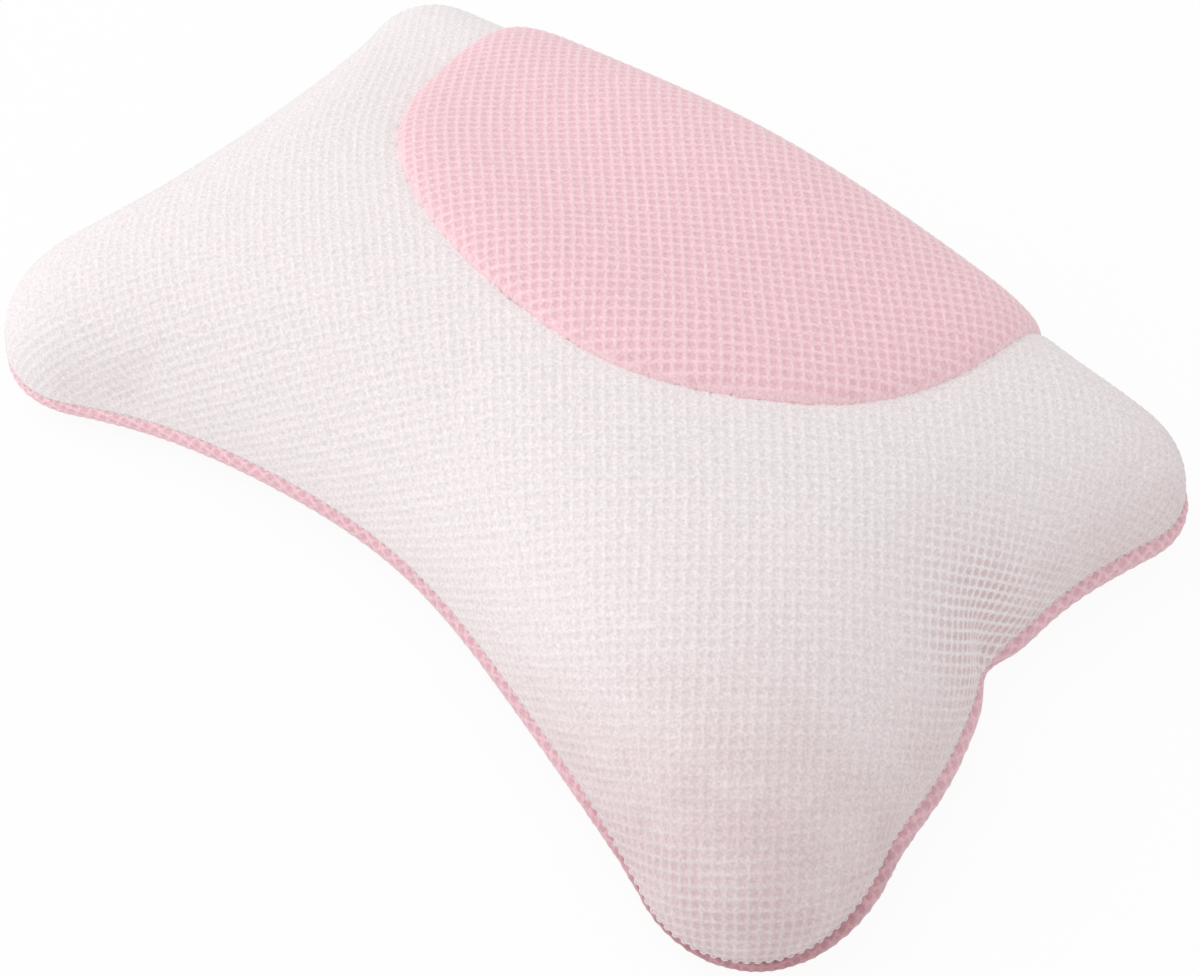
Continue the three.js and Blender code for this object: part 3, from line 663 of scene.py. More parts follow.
def place_on(grid, targets, start=None, rounds=8):
    """Places on a grid of plane points next to the targets, and how far each misses its target. By the
    grid's corners, where rows and columns run along one line and Newton's steps fail, the nearest point of
    a finer grid is taken."""
    last = [grid.shape[1] - 1, grid.shape[0] - 1]
    at = np.clip(locate(grid, targets, start, rounds), 0, last)
    miss = np.linalg.norm(targets - straight_sample(grid, at)[0], axis=1)
    dense = finer(finer(grid))
    rows, columns = (np.r_[0:CORNER, count - CORNER:count] for count in dense.shape[:2])
    corners = dense[np.ix_(rows, columns)].reshape(-1, 2)
    lost = np.flatnonzero(miss > LOST)
    for part in np.array_split(lost, len(lost) // 200 + 1):
        gap = np.linalg.norm(targets[part, None] - corners, axis=-1)
        nearest, least = gap.argmin(1), gap.min(1, initial=np.inf)
        found = np.stack([columns[nearest % len(columns)], rows[nearest // len(columns)]], 1) / 4
        nearer = least < miss[part]
        at[part[nearer]] = found[nearer]
        miss[part] = np.minimum(miss[part], least)
    return at, miss


def arc_lengths(surface):
    """First guess of the flat cloth: lengths along the grid's lines from its middle column and middle row."""
    across = np.linalg.norm(np.diff(surface, axis=1), axis=-1)
    along = np.linalg.norm(np.diff(surface, axis=0), axis=-1)
    x = np.concatenate([np.zeros((len(surface), 1)), np.cumsum(across, 1)], 1)
    y = np.concatenate([np.zeros((1, surface.shape[1])), np.cumsum(along, 0)])
    x -= x[:, x.shape[1] // 2, None]
    y -= y[None, y.shape[0] // 2]
    return np.stack([x, y], -1)


def relax(flat, surface, rounds):
    """Moves the flat grid's points along their links until the links are as long as on the surface, on
    average."""
    links = []
    for a, b in (((slice(None), slice(0, -1)), (slice(None), slice(1, None))),
                 ((slice(0, -1), slice(None)), (slice(1, None), slice(None))),
                 ((slice(0, -1), slice(0, -1)), (slice(1, None), slice(1, None))),
                 ((slice(0, -1), slice(1, None)), (slice(1, None), slice(0, -1)))):
        links.append((a, b, np.linalg.norm(surface[b] - surface[a], axis=-1)))
    for _ in range(rounds):
        shift = np.zeros_like(flat)
        count = np.zeros(flat.shape[:2])
        for a, b, rest in links:
            gap = flat[b] - flat[a]
            move = gap * ((1 - rest / np.maximum(np.linalg.norm(gap, axis=-1), 1e-9)) / 2)[..., None]
            shift[a] += move
            shift[b] -= move
            count[a] += 1
            count[b] += 1
        flat = flat + OVERSHOOT * shift / count[..., None]
    return flat


def finer(grid):
    """The grid with a row and a column put halfway between each two."""
    rows = np.empty((2 * len(grid) - 1,) + grid.shape[1:])
    rows[::2], rows[1::2] = grid, (grid[1:] + grid[:-1]) / 2
    both = np.empty((len(rows), 2 * grid.shape[1] - 1) + grid.shape[2:])
    both[:, ::2], both[:, 1::2] = rows, (rows[:, 1:] + rows[:, :-1]) / 2
    return both


def flatten(surface):
    """The surface's grid laid flat with little stretch, worked out on coarser grids first."""
    first = FLATTENING[0][0]
    flat = arc_lengths(surface)[::first, ::first]
    for stride, rounds in FLATTENING:
        flat = relax(flat, surface[::stride, ::stride], rounds)
        if stride > 1:
            flat = finer(flat)
    return flat


# Nets of holes

def hole_steps(pitch, angle):
    """Steps from hole to hole along a row and along a column, at right angles."""
    return pitch * np.array([[math.cos(angle), math.sin(angle)], [-math.sin(angle), math.cos(angle)]])


def hole_centres(pitch, angle, low, high):
    """Centres of holes over a box, in whole steps along rows and columns."""
    reach = int(np.ceil(np.hypot(*(high - low)) / pitch)) + 2
    i, j = np.meshgrid(np.arange(-reach, reach + 1), np.arange(-reach, reach + 1))
    centres = np.stack([i.ravel(), j.ravel()], 1) @ hole_steps(pitch, angle) + (low + high) / 2
    return centres[np.all((centres > low - pitch) & (centres < high + pitch), 1)]


def net(centres, pitch, angle, hole):
    """Flat net round holes in rows and columns: each cell is a square with knots at its corners and strands
    between them, shared with its neighbours, then eight lip points round the hole on a rounded square and
    one point in it. Returns points, the cell and the depth of each, and the faces."""
    turns = np.arange(8) * math.pi / 4
    way = np.stack([np.cos(turns), np.sin(turns)], 1)
    axes = hole_steps(pitch, angle)
    spokes = np.clip(way * 2, -1, 1) / 2 @ axes
    squared = (np.abs(way) ** SQUARENESS).sum(1) ** (-1 / SQUARENESS)
    ring = hole / 2 * way * squared[:, None] @ axes
    corners = (centres[:, None] + spokes).reshape(-1, 2)
    keys = np.round(corners / (pitch * 0.05)).astype(np.int64)
    _, first, crest = np.unique(keys, axis=0, return_index=True, return_inverse=True)
    crest = crest.reshape(-1, 8)
    lips = (centres[:, None] + ring).reshape(-1, 2)
    points = np.concatenate([corners[first], lips, centres])
    knots = np.where(first % 2 == 1, KNOT, STRAND)
    depth = np.concatenate([knots, np.full(len(lips), LIP), np.full(len(centres), BOTTOM)])
    cell = np.arange(len(centres))
    cell = np.concatenate([first // 8, np.repeat(cell, 8), cell])
    lip = len(first) + np.arange(len(lips)).reshape(-1, 8)
    middle = len(first) + len(lips) + np.arange(len(centres))
    quads = np.stack([crest, np.roll(crest, -1, 1), np.roll(lip, -1, 1), lip], -1).reshape(-1, 4)
    fans = np.stack([lip, np.roll(lip, -1, 1), np.repeat(middle[:, None], 8, 1)], -1).reshape(-1, 3)
    return points, cell, depth, quads, fans


def net_offsets(mesh, depth):
    """Heights over the cloth of knots, strands, lips and hole bottoms."""
    return np.interp(depth, [KNOT, STRAND, LIP, BOTTOM], [mesh.knot, mesh.strand, -mesh.lip, -mesh.sink])


def make_piece(name, points, polygons, attributes=None, smooth=True):
    """A mesh object from points and lists of faces of one size each."""
    loops = np.concatenate([faces.ravel() for faces in polygons])
    sizes = np.concatenate([np.full(len(faces), faces.shape[1]) for faces in polygons])
    data = bpy.data.meshes.new(name)
    data.vertices.add(len(points))
    data.vertices.foreach_set("co", points.astype(np.float32).ravel())
    data.loops.add(len(loops))
    data.loops.foreach_set("vertex_index", loops.astype(np.int32))
    data.polygons.add(len(sizes))
    data.polygons.foreach_set("loop_start", np.concatenate([[0], np.cumsum(sizes)[:-1]]).astype(np.int32))
    data.polygons.foreach_set("use_smooth", np.full(len(sizes), smooth))
    for key, values in (attributes or {}).items():
        layer = data.attributes.new(key, "FLOAT", "POINT")
        layer.data.foreach_set("value", values.astype(np.float32))
    data.update(calc_edges=True)
    piece = bpy.data.objects.new(name, data)
    bpy.context.scene.collection.objects.link(piece)
    return piece


def trimmed(points, polygons, attributes):
    """Points, faces and attributes without the faces that have shrunk to a line and the points that none
    uses."""
    kept = []
    for faces in polygons:
        sides = points[faces[:, 1:]] - points[faces[:, :1]]
        area = np.linalg.norm(np.cross(sides[:, :-1], sides[:, 1:]), axis=-1).sum(1)
        kept.append(faces[area > 1e-10])
    used = np.unique(np.concatenate([faces.ravel() for faces in kept]))
    renumber = np.zeros(len(points), int)
    renumber[used] = np.arange(len(used))
    kept = [renumber[faces] for faces in kept]
    return points[used], kept, {key: values[used] for key, values in attributes.items()}


def grid_faces(rows, columns, wrapped=False):
    """Quads between the points of a grid, row by row. A wrapped grid joins its last column to its first."""
    across = np.arange(columns if wrapped else columns - 1)
    i, j = np.meshgrid(np.arange(rows - 1), across, indexing="ij")
    k = (j + 1) % columns
    here, above = i * columns, (i + 1) * columns
    return np.stack([here + j, here + k, above + k, above + j], -1).reshape(-1, 4)


# Materials

def material(name, build):
    """A material whose nodes are laid out by a function of its tree and its main shader."""
    made = bpy.data.materials.new(name)
    made.use_nodes = True
    tree = made.node_tree
    build(tree, tree.nodes["Principled BSDF"])
    return made


def feed(tree, target, inputs):
    """Sets a node's inputs, by name or number, to values or to the outputs that feed them."""
    for key, value in inputs.items():
        if isinstance(value, bpy.types.NodeSocket):
            tree.links.new(value, target.inputs[key])
        else:
            target.inputs[key].default_value = value


def node(tree, kind, inputs=None, **settings):
    """A new shader node with its settings and inputs."""
    made = tree.nodes.new(f"ShaderNode{kind}")
    for key, value in settings.items():
        setattr(made, key, value)
    feed(tree, made, inputs or {})
    return made


def noise(tree, scale, **inputs):
    """Noise in the piece's own coordinates."""
    place = node(tree, "TexCoord").outputs["Object"]
    return node(tree, "TexNoise", {"Vector": place, "Scale": scale, **inputs}).outputs["Fac"]


def ramp(tree, value, limits, results=(0, 1), **settings):
    """A value mapped from one range to another."""
    inputs = {"Value": value, "From Min": limits[0], "From Max": limits[1],
              "To Min": results[0], "To Max": results[1]}
    return node(tree, "MapRange", inputs, **settings).outputs["Result"]


def combine(tree, a, b, kind):
    """Two values put together by a sum, product or choice."""
    return node(tree, "Math", {0: a, 1: b}, operation=kind).outputs["Value"]


def blend(tree, a, b, factor, kind="MIX"):
    """Two colours mixed, or multiplied, by a factor."""
    made = node(tree, "Mix", {"A": a, "B": b, "Factor": factor}, data_type="RGBA", blend_type=kind)
    return made.outputs["Result"]


def two_tone(tree, tint, dark, factor):
    """A colour that varies down to a darker share of itself."""
    return blend(tree, (*[dark * c for c in tint], 1), (*tint, 1), factor)


def spacer_mesh(name, strand, hole, painted_shade=None):
    """Knitted mesh: strand colour on the crests and hole colour at the bottoms, each mixed towards its
    painted shade colour by its own attribute, knots brightened as a painted highlight, and fine yarn noise in
    colour and bump."""
    def build(tree, shader):
        def layer(key):
            return node(tree, "Attribute", attribute_name=key).outputs["Fac"]

        depth, yarn = layer("depth"), noise(tree, 1100, Detail=3)
        uneven = ramp(tree, noise(tree, 70), (0.35, 0.65), (0.8, 1.1))
        # Painted shade: strands and holes each mix towards a shaded colour by their own attribute, made
        # uneven by noise
        sides = zip((strand, hole), painted_shade or (strand, hole), ("painted_shade", "show"))
        shade_mixed = [
            blend(tree, (*unshaded, 1), (*deep, 1), combine(tree, layer(key), uneven, "MULTIPLY"))
            for unshaded, deep, key in sides
        ]
        sunk = ramp(tree, depth, (0.3, 0.65), interpolation_type="SMOOTHSTEP")
        # Painted highlight: the knots on the crests are coloured a little brighter
        knot = ramp(tree, depth, (0.2, 0))
        cloth = blend(tree, *shade_mixed, sunk)
        cloth = blend(tree, cloth, (1.06, 1.06, 1.06, 1), knot, "MULTIPLY")
        tone = ramp(tree, yarn, (0.3, 0.7), (0.87, 1.11))
        bump = node(tree, "Bump", {"Strength": 0.35, "Distance": 0.0003, "Height": yarn})
        feed(tree, shader, {
            "Base Color": blend(tree, cloth, tone, 1, "MULTIPLY"),
            "Normal": bump.outputs["Normal"],
            "Roughness": 0.72,
            "Sheen Weight": 0.45,
            "Sheen Roughness": 0.5,
            "Specular IOR Level": 0.35,
        })
    return material(name, build)


def sewing_thread(name, tint):
    """Twisted thread: very fine noise in tone."""
    def build(tree, shader):
        feed(tree, shader, {
            "Base Color": two_tone(tree, tint, 0.8, noise(tree, 2500)),
            "Roughness": 0.6,
            "Sheen Weight": 0.2,
        })
    return material(name, build)


def stuffing(name, tint):
    """Loose fibre: stringy noise in tone and bump."""
    def build(tree, shader):
        strings = noise(tree, 260, Detail=8, Distortion=2)
        bump = node(tree, "Bump", {"Distance": 0.002, "Height": strings})
        feed(tree, shader, {
            "Base Color": two_tone(tree, tint, 0.82, strings),
            "Normal": bump.outputs["Normal"],
            "Roughness": 0.9,
            "Sheen Weight": 0.4,
        })
    return material(name, build)


def clear_vinyl(name, tint):
    """Clear soft vinyl: glossy, nearly clear, with a faint uneven haze."""
    def build(tree, shader):
        feed(tree, shader, {
            "Base Color": (*tint, 1),
            "Roughness": ramp(tree, noise(tree, 90, Detail=4), (0, 1), (0.08, 0.22)),
            "Transmission Weight": 0.85,
            "IOR": 1.45,
        })
    return material(name, build)


def plated(name, tint):
    """Bright plating with faint polishing marks in its roughness."""
    def build(tree, shader):
        feed(tree, shader, {
            "Base Color": (*tint, 1),
            "Roughness": ramp(tree, noise(tree, 700, Detail=5), (0, 1), (0.14, 0.34)),
            "Metallic": 1,
        })
    return material(name, build)


# Cloth

def swell(form, surface):
    """Blows the top surface up as cloth: its border stays sewn, pressure pushes it out and the cloth's
    slack gathers along the seam. A point moves no further than the cap, and the shifts are evened out over
    the grid."""
    rows, columns = surface.shape[:2]
    points = surface.reshape(-1, 3)
    piece = make_piece("swelling cloth", points, [grid_faces(rows, columns)])
    border = np.ones((rows, columns), bool)
    border[1:-1, 1:-1] = False
    sewn = piece.vertex_groups.new(name="sewn")
    sewn.add(np.flatnonzero(border).tolist(), 1.0, "REPLACE")
    cloth = piece.modifiers.new("Cloth", "CLOTH")
    fabric = {
        "quality": 6,
        "mass": 0.25,
        "tension_stiffness": 12,
        "compression_stiffness": 12,
        "shear_stiffness": 4,
        "bending_stiffness": 0.6,
        "use_pressure": True,
        "uniform_pressure_force": form.pressure,
        "shrink_min": -form.slack,
        "vertex_group_mass": sewn.name,
    }
    for key, value in fabric.items():
        setattr(cloth.settings, key, value)
    cloth.settings.effector_weights.gravity = 0
    cloth.collision_settings.use_collision = False
    scene = bpy.context.scene
    for step in range(1, form.frames + 1):
        scene.frame_set(step)
    swollen = piece.evaluated_get(bpy.context.evaluated_depsgraph_get()).data
    moved = np.empty(points.size, np.float32)
    swollen.vertices.foreach_get("co", moved)
    data = piece.data
    bpy.data.objects.remove(piece)
    bpy.data.meshes.remove(data)
    scene.frame_set(1)
    shift = moved.reshape(surface.shape) - surface
    far = np.maximum(np.linalg.norm(shift, axis=-1, keepdims=True), 1e-9)
    shift *= form.cap * np.tanh(far / form.cap) / far
    for _ in range(form.evening):
        beside = shift[1:-1, :-2] + shift[1:-1, 2:] + shift[:-2, 1:-1] + shift[2:, 1:-1]
        shift[1:-1, 1:-1] = lerp(shift[1:-1, 1:-1], beside / 4, EVENED)
    return surface + shift


# Covers

def crease(depth, width, distance):
    """Sunk strip beside a seam: a quarter round that is deepest at the seam and ends at the width."""
    inside = np.clip(1 - distance / width, 0, 1)
    return -depth * (1 - np.sqrt(1 - inside ** 2))


def bell(points, x, y, reach):
    """Bell curve of the distance in plan from a place given in millimetres."""
    return np.exp(-((points[:, :2] - np.array([x, y]) / 1000) ** 2).sum(1) / (2 * (reach / 1000) ** 2))


def settle(form, cup, points):
    """Points of a soft piece moved as its filling has settled: each pull and lift fades as a bell curve
    with the distance in plan, lifts grow with the height over the seam, the seam's own lifts end above and
    below it, and the base stays still round each cup."""
    moved = points.copy()
    over = np.clip((points[:, 2] - form.seam_height) / form.settle_height, 0, 1)
    around = cup_distance(cup, points) / cup.radius
    free = np.maximum(over, smoothstep(around, cup.still, cup.loose))
    for x, y, right, back, reach in PULLS.values():
        moved[:, :2] += (bell(points, x, y, reach) * free)[:, None] * np.array([right, back]) / 1000
    for x, y, up, reach in LIFTS.values():
        moved[:, 2] += bell(points, x, y, reach) * over * up / 1000
    below = np.clip(1 + (points[:, 2] - form.seam_height) / form.seam_reach, 0, 1)
    beside = below * (1 - smoothstep(over, 0, 1)) * free
    moved[:, 2] += beside * form.seam_lift
    for x, y, up, reach in SEAM_LIFTS.values():
        moved[:, 2] += bell(points, x, y, reach) * beside * up / 1000
    return moved


def furrow(points):
    """Depth of the furrows: along its line each fades from the edge inwards, and as a bell curve to its
    sides."""
    total = np.zeros(len(points))
    for x, y, to_x, to_y, depth, width in FURROWS.values():
        line = np.array([to_x - x, to_y - y]) / 1000
        away = points[:, :2] - np.array([x, y]) / 1000
        along = (away @ line) / (line @ line)
        aside = (away[:, 0] * line[1] - away[:, 1] * line[0]) / np.hypot(*line)
        fade = (1 - np.clip(along, 0, 1)) * np.exp(-aside ** 2 / (2 * (width / 1000) ** 2))
        total += depth / 1000 * fade
    return total


def painted_cover_shade(tint, place, edge, drawn):
    """Painted shade on the white cover's strands and on its holes, by the place and the height over the seam:
    deeper low down to the right, away from the lamps, where near the seam it also stands for the pink base
    showing through, deeper on the front right lobe, where the light falls off, and in the holes of the right
    waist's pinch and of the furrows."""
    right = smoothstep(place[:, 0], tint.start, tint.end)
    low = 1 - smoothstep(edge, tint.low, lerp(tint.left_height, tint.right_height, right))
    lobe, waist = (bell(place, *SHADED_SPOTS[spot]) for spot in ("front right lobe", "right waist"))
    # Painted shade low down on the right side, away from the lamps
    pale = tint.side * right * low
    strands = pale * (1 - tint.waist * waist) + tint.lobe_strand * lobe
    holes = pale + tint.lobe_hole * lobe + tint.waist * waist + tint.furrow * drawn
    return np.clip(strands, 0, 1), np.clip(holes, 0, 1)


def cover(name, settings, surface, flat, panel):
    """A panel of the top: its net is laid out on the flat cloth, carried to the surface by the grid and
    clipped at the panel's seam, with each point set off along the surface's normal."""
    form, head, mesh, cup, tint = settings
    pitch = mesh.top_pitch
    low, high = flat.reshape(-1, 2).min(0), flat.reshape(-1, 2).max(0)
    centres = hole_centres(pitch, mesh.angle, low, high)
    rows, columns = surface.shape[:2]
    last = [columns - 1, rows - 1]
    sign = -1 if panel == "head" else 1
    at, miss = place_on(flat, centres)
    inside = miss < mesh.catch * pitch
    centres, at = centres[inside], at[inside]
    plan = sample(surface, at)[0][:, :2]
    near = sign * (head_measure(form, head, plan) - 1) * head.half_width > -pitch
    centres, at = centres[near], at[near]
    points, cell, depth, quads, fans = net(centres, pitch, mesh.angle, mesh.hole)
    at = place_on(flat, points, at[cell], rounds=6)[0]
    plan = sample(surface, at)[0][:, :2]
    limit = 1 if panel == "head" else 1 - head.tuck / head.half_width
    over = sign * (head_measure(form, head, plan) - limit) < 0
    seam = onto_head_seam(form, head, plan[over], limit)
    at[over] = np.clip(locate(surface[..., :2], seam, at[over]), 0, last)
    place, du, dv = sample(surface, at)
    normal = unit(np.cross(du, dv))
    beside = np.abs(head_distance(form, head, place[:, :2]))
    sunk = crease(head.crease, head.crease_width, beside)
    if panel == "head":
        sunk += head_rise(form, head, place[:, :2])
    edge = place[:, 2] - form.seam_height
    sunk += crease(form.edge_crease, form.edge_crease_width, edge)
    drawn = furrow(place) * smoothstep(edge, 0, form.furrow_start)
    inwards = np.minimum(beside, edge)
    relief = net_offsets(mesh, depth) * smoothstep(inwards, 0, mesh.taper)
    depth = lerp(STRAND, depth, smoothstep(inwards, mesh.hem / 4, mesh.hem))
    # Painted shade of the strands and of the holes, kept as attributes for the material
    painted_shade, show = painted_cover_shade(tint, place, edge, drawn)
    place += normal * (relief + sunk - drawn)[:, None]
    place = settle(form, cup, place)
    return make_piece(name, *trimmed(place, [quads, fans], {"depth": depth, "painted_shade": painted_shade, "show": show}))


def cup_centres(cup):
    """Places of the four cups, in the order of their names."""
    return np.array([[-cup.front_x, cup.front_y], [cup.front_x, cup.front_y],
                     [-cup.rear_x, cup.rear_y], [cup.rear_x, cup.rear_y]])


def cup_distance(cup, points):
    """How far points are in plan from the nearest cup's axis."""
    return np.linalg.norm(points[:, None, :2] - cup_centres(cup), axis=-1).min(1)


def beside_outline(form, offset, points):
    """Signed distance of points to an offset outline, positive outside, the nearest points on it and its
    outward normals there: the nearest of the arcs, on the right half that the points are mirrored to."""
    side = np.where(points[:, 0] < 0, -1.0, 1.0)
    folded = np.stack([np.abs(points[:, 0]), points[:, 1]], 1)
    best = np.full(len(points), np.inf)
    foot, normal, signed = np.zeros_like(folded), np.zeros_like(folded), np.zeros(len(points))
    for centre, radius, sign, start, end in outline_arcs(form):
        radius = radius + sign * offset
        ray = folded - centre
        angle = np.arctan2(ray[:, 1], ray[:, 0])
        middle = (start + end) / 2
        turned = (angle - middle + math.pi) % (2 * math.pi) - math.pi
        angle = middle + np.clip(turned, -abs(end - start) / 2, abs(end - start) / 2)
        way = np.stack([np.cos(angle), np.sin(angle)], 1)
        near = centre + radius * way
        gap = np.hypot(*(folded - near).T)
        nearer = gap < best
        best = np.where(nearer, gap, best)
        signed = np.where(nearer, sign * (np.hypot(*ray.T) - radius), signed)
        foot[nearer], normal[nearer] = near[nearer], sign * way[nearer]
    flip = np.stack([side, np.ones(len(side))], 1)
    return np.sign(signed) * best, foot * flip, normal * flip


def rim_profile(rim, count=400):
    """Section of the rolled rim from the flat base up to the seam, by arc length: distance out from the
    flat's edge and height, along a half turn that bulges out and tucks in, and a hem that goes on level
    inside the seam."""
    a = np.linspace(math.pi, 0, count)
    out = rim.bulge * np.sin(a) - rim.tuck * (1 - np.cos(a)) / 2 + rim.tuck
    z = rim.base_height + rim.height * (1 + np.cos(a)) / 2
    out, z = np.append(out, out[-1] - rim.hem), np.append(z, z[-1])
    arc = running(np.hypot(np.diff(out), np.diff(z)))
    return arc, out, z


def base_cover(name, form, rim, mesh, cup, tint):
    """The base: its net lies flat, is hollowed over each cup and rolls up round the rim to the seam, so the
    flat net's distance beyond the base's edge becomes arc length along the rim's section."""
    arc, out, z = rim_profile(rim)
    reach = np.array([form.width / 2, form.depth / 2]) + arc[-1] * rim.squeeze
    centres = hole_centres(mesh.base_pitch, mesh.angle, -reach, reach)
    beyond = beside_outline(form, -rim.tuck, centres)[0]
    centres = centres[beyond < arc[-1] * rim.squeeze + mesh.base_pitch * rim.hem_catch]
    centres = centres[cup_distance(cup, centres) > rim.eye_radius - mesh.base_pitch * rim.eye_catch]
    points, _, depth, quads, fans = net(centres, mesh.base_pitch, mesh.angle, mesh.hole)
    for middle in cup_centres(cup):
        ray = points - middle
        far = np.maximum(np.hypot(*ray.T), 1e-9)
        points = middle + ray * np.maximum(1, rim.eye_radius / far)[:, None]
    beyond, foot, outward = beside_outline(form, -rim.tuck, points)
    along = np.clip(beyond / rim.squeeze, 0, arc[-1])
    bulged = np.interp(along, arc, out)
    roll = np.sin(math.pi * np.clip(along / (arc[-1] - rim.hem), 0, 1))
    for x, y, more, reach in RIM_SWELLS.values():
        bulged += bell(foot, x, y, reach) * roll * more / 1000
    onto = foot + outward * bulged[:, None]
    slope_out = np.interp(along, arc, np.gradient(out, arc))
    slope_z = np.interp(along, arc, np.gradient(z, arc))
    outside = beyond > 0
    place = np.concatenate([np.where(outside[:, None], onto, points), np.interp(along, arc, z)[:, None]], 1)
    normal = np.concatenate([outward * slope_z[:, None], -slope_out[:, None]], 1)
    normal[~outside] = [0, 0, -1]
    for middle in cup_centres(cup):
        ray = points - middle
        far = np.maximum(np.hypot(*ray.T), 1e-9)
        t = np.clip((far - rim.seat_radius) / (rim.dimple_radius - rim.seat_radius), 0, 1)
        place[:, 2] += np.where(outside, 0, rim.dimple * (1 - t * t * (3 - 2 * t)))
        fall = -rim.dimple * 6 * t * (1 - t) / (rim.dimple_radius - rim.seat_radius)
        normal[:, :2] += np.where(outside, 0, fall / far)[:, None] * ray
    hem = smoothstep(along, arc[-1] - rim.hem - mesh.taper, arc[-1] - rim.hem)
    place += unit(normal) * (net_offsets(mesh, depth) * (1 - hem) - rim.hem_drop * hem)[:, None]
    # Painted shade on the rim: deeper towards the right and by the front right lobe, kept for strands and
    # holes alike
    lobe = bell(place, *SHADED_SPOTS["rim by the front right lobe"])
    side = smoothstep(place[:, 0], tint.rim_start, tint.rim_end)
    painted_shade = np.clip(tint.rim_side * side + tint.rim_lobe * lobe, 0, 1)
    place = settle(form, cup, place)
    layers = {"depth": depth, "painted_shade": painted_shade, "show": painted_shade}
    return make_piece(name, *trimmed(place, [quads[:, ::-1], fans[:, ::-1]], layers))


def dress(piece, body, nodes, finish):
    """Gives a piece its finish in a material slot and its body, and hides the nodes of the model that it
    stands for.
    """
    piece.data.materials.append(finish)
    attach(piece, body)
    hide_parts(*nodes)
    return piece


class BATHPILLOW_OT_covers(bpy.types.Operator):
    """Build the white top cover and the pink head panel as swollen spacer mesh"""

    bl_idname = "bath_pillow.covers"
    bl_label = "Top covers"

    def execute(self, context):
        scene = context.scene
        form, head, mesh = scene.pillow_form, scene.pillow_head, scene.pillow_mesh
        tints = scene.pillow_colours
        flat = flatten(top_surface(form))
        surface = blown_surface(form)
        settings = form, head, mesh, scene.pillow_cup, scene.pillow_tint
        white = cover("top_cover", settings, surface, flat, "top")
        # The white mesh is mixed towards its painted shade colours where it is shaded
        finish = spacer_mesh("white spacer mesh", tints.white_strand, tints.white_hole,
                             (tints.shaded_strand, tints.shaded_hole))
        dress(white, "pillow", ["top_panel"], finish)
        pink = cover("head_cover", settings, surface, flat, "head")
        finish = spacer_mesh("pink spacer mesh", tints.pink_strand, tints.pink_hole)
        dress(pink, "pillow", ["head_panel"], finish)
        return {"FINISHED"}


class BATHPILLOW_OT_base(bpy.types.Operator):
    """Build the pink base cover with its rolled rim"""

    bl_idname = "bath_pillow.base"
    bl_label = "Base cover"

    def execute(self, context):
        scene = context.scene
        tints = scene.pillow_colours
        base = base_cover("base_cover", scene.pillow_form, scene.pillow_rim, scene.pillow_mesh,
                          scene.pillow_cup, scene.pillow_tint)
        # The base cover is mixed towards its painted shade colours on its right side and by the front right
        # lobe
        finish = spacer_mesh("rim spacer mesh", tints.rim_strand, tints.rim_hole,
                             (tints.shaded_rim_strand, tints.shaded_rim_hole))
        dress(base, "pillow", ["base_panel"], finish)
        return {"FINISHED"}


# Seams

def stitch_row(name, path, normals, seam):
    """A row of stitches along an open path: each is a short round thread that dips into the cloth at both
    ends. Points of all stitches are one array of stitch by ring by side."""
    at = running(np.linalg.norm(np.diff(path, axis=0), axis=1))
    count = int(at[-1] / seam.pitch)
    step = at[-1] / count
    ring = np.linspace(-0.5, 0.5, RINGS)
    sides = np.arange(SIDES) * 2 * math.pi / SIDES
    spots = (np.arange(count) + 0.5)[:, None] * step + ring * (step - seam.gap)
    line = np.stack([np.interp(spots, at, path[:, k]) for k in range(3)], -1)
    up = np.stack([np.interp(spots, at, normals[:, k]) for k in range(3)], -1)
    across = unit(np.cross(unit(np.gradient(line, axis=1)), up))
    lift = seam.radius * (seam.arch * np.cos(ring * math.pi) - seam.sunk)
    thick = seam.radius * np.sqrt(np.clip(1 - (2 * ring) ** seam.bluntness, seam.tip, 1))
    line = line + up * lift[None, :, None]
    rounds = across[:, :, None] * np.cos(sides)[:, None] + up[:, :, None] * np.sin(sides)[:, None]
    points = line[:, :, None] + rounds * thick[None, :, None, None]
    first = (np.arange(count) * RINGS * SIDES)[:, None, None]
    faces = grid_faces(RINGS, SIDES, wrapped=True)[None] + first
    end = np.arange(SIDES)
    ends = np.stack([end[::-1], end + (RINGS - 1) * SIDES])[None] + first
    polygons = [faces.reshape(-1, 4)[:, ::-1], ends.reshape(-1, SIDES)[:, ::-1]]
    return make_piece(name, points.reshape(-1, 3), polygons)


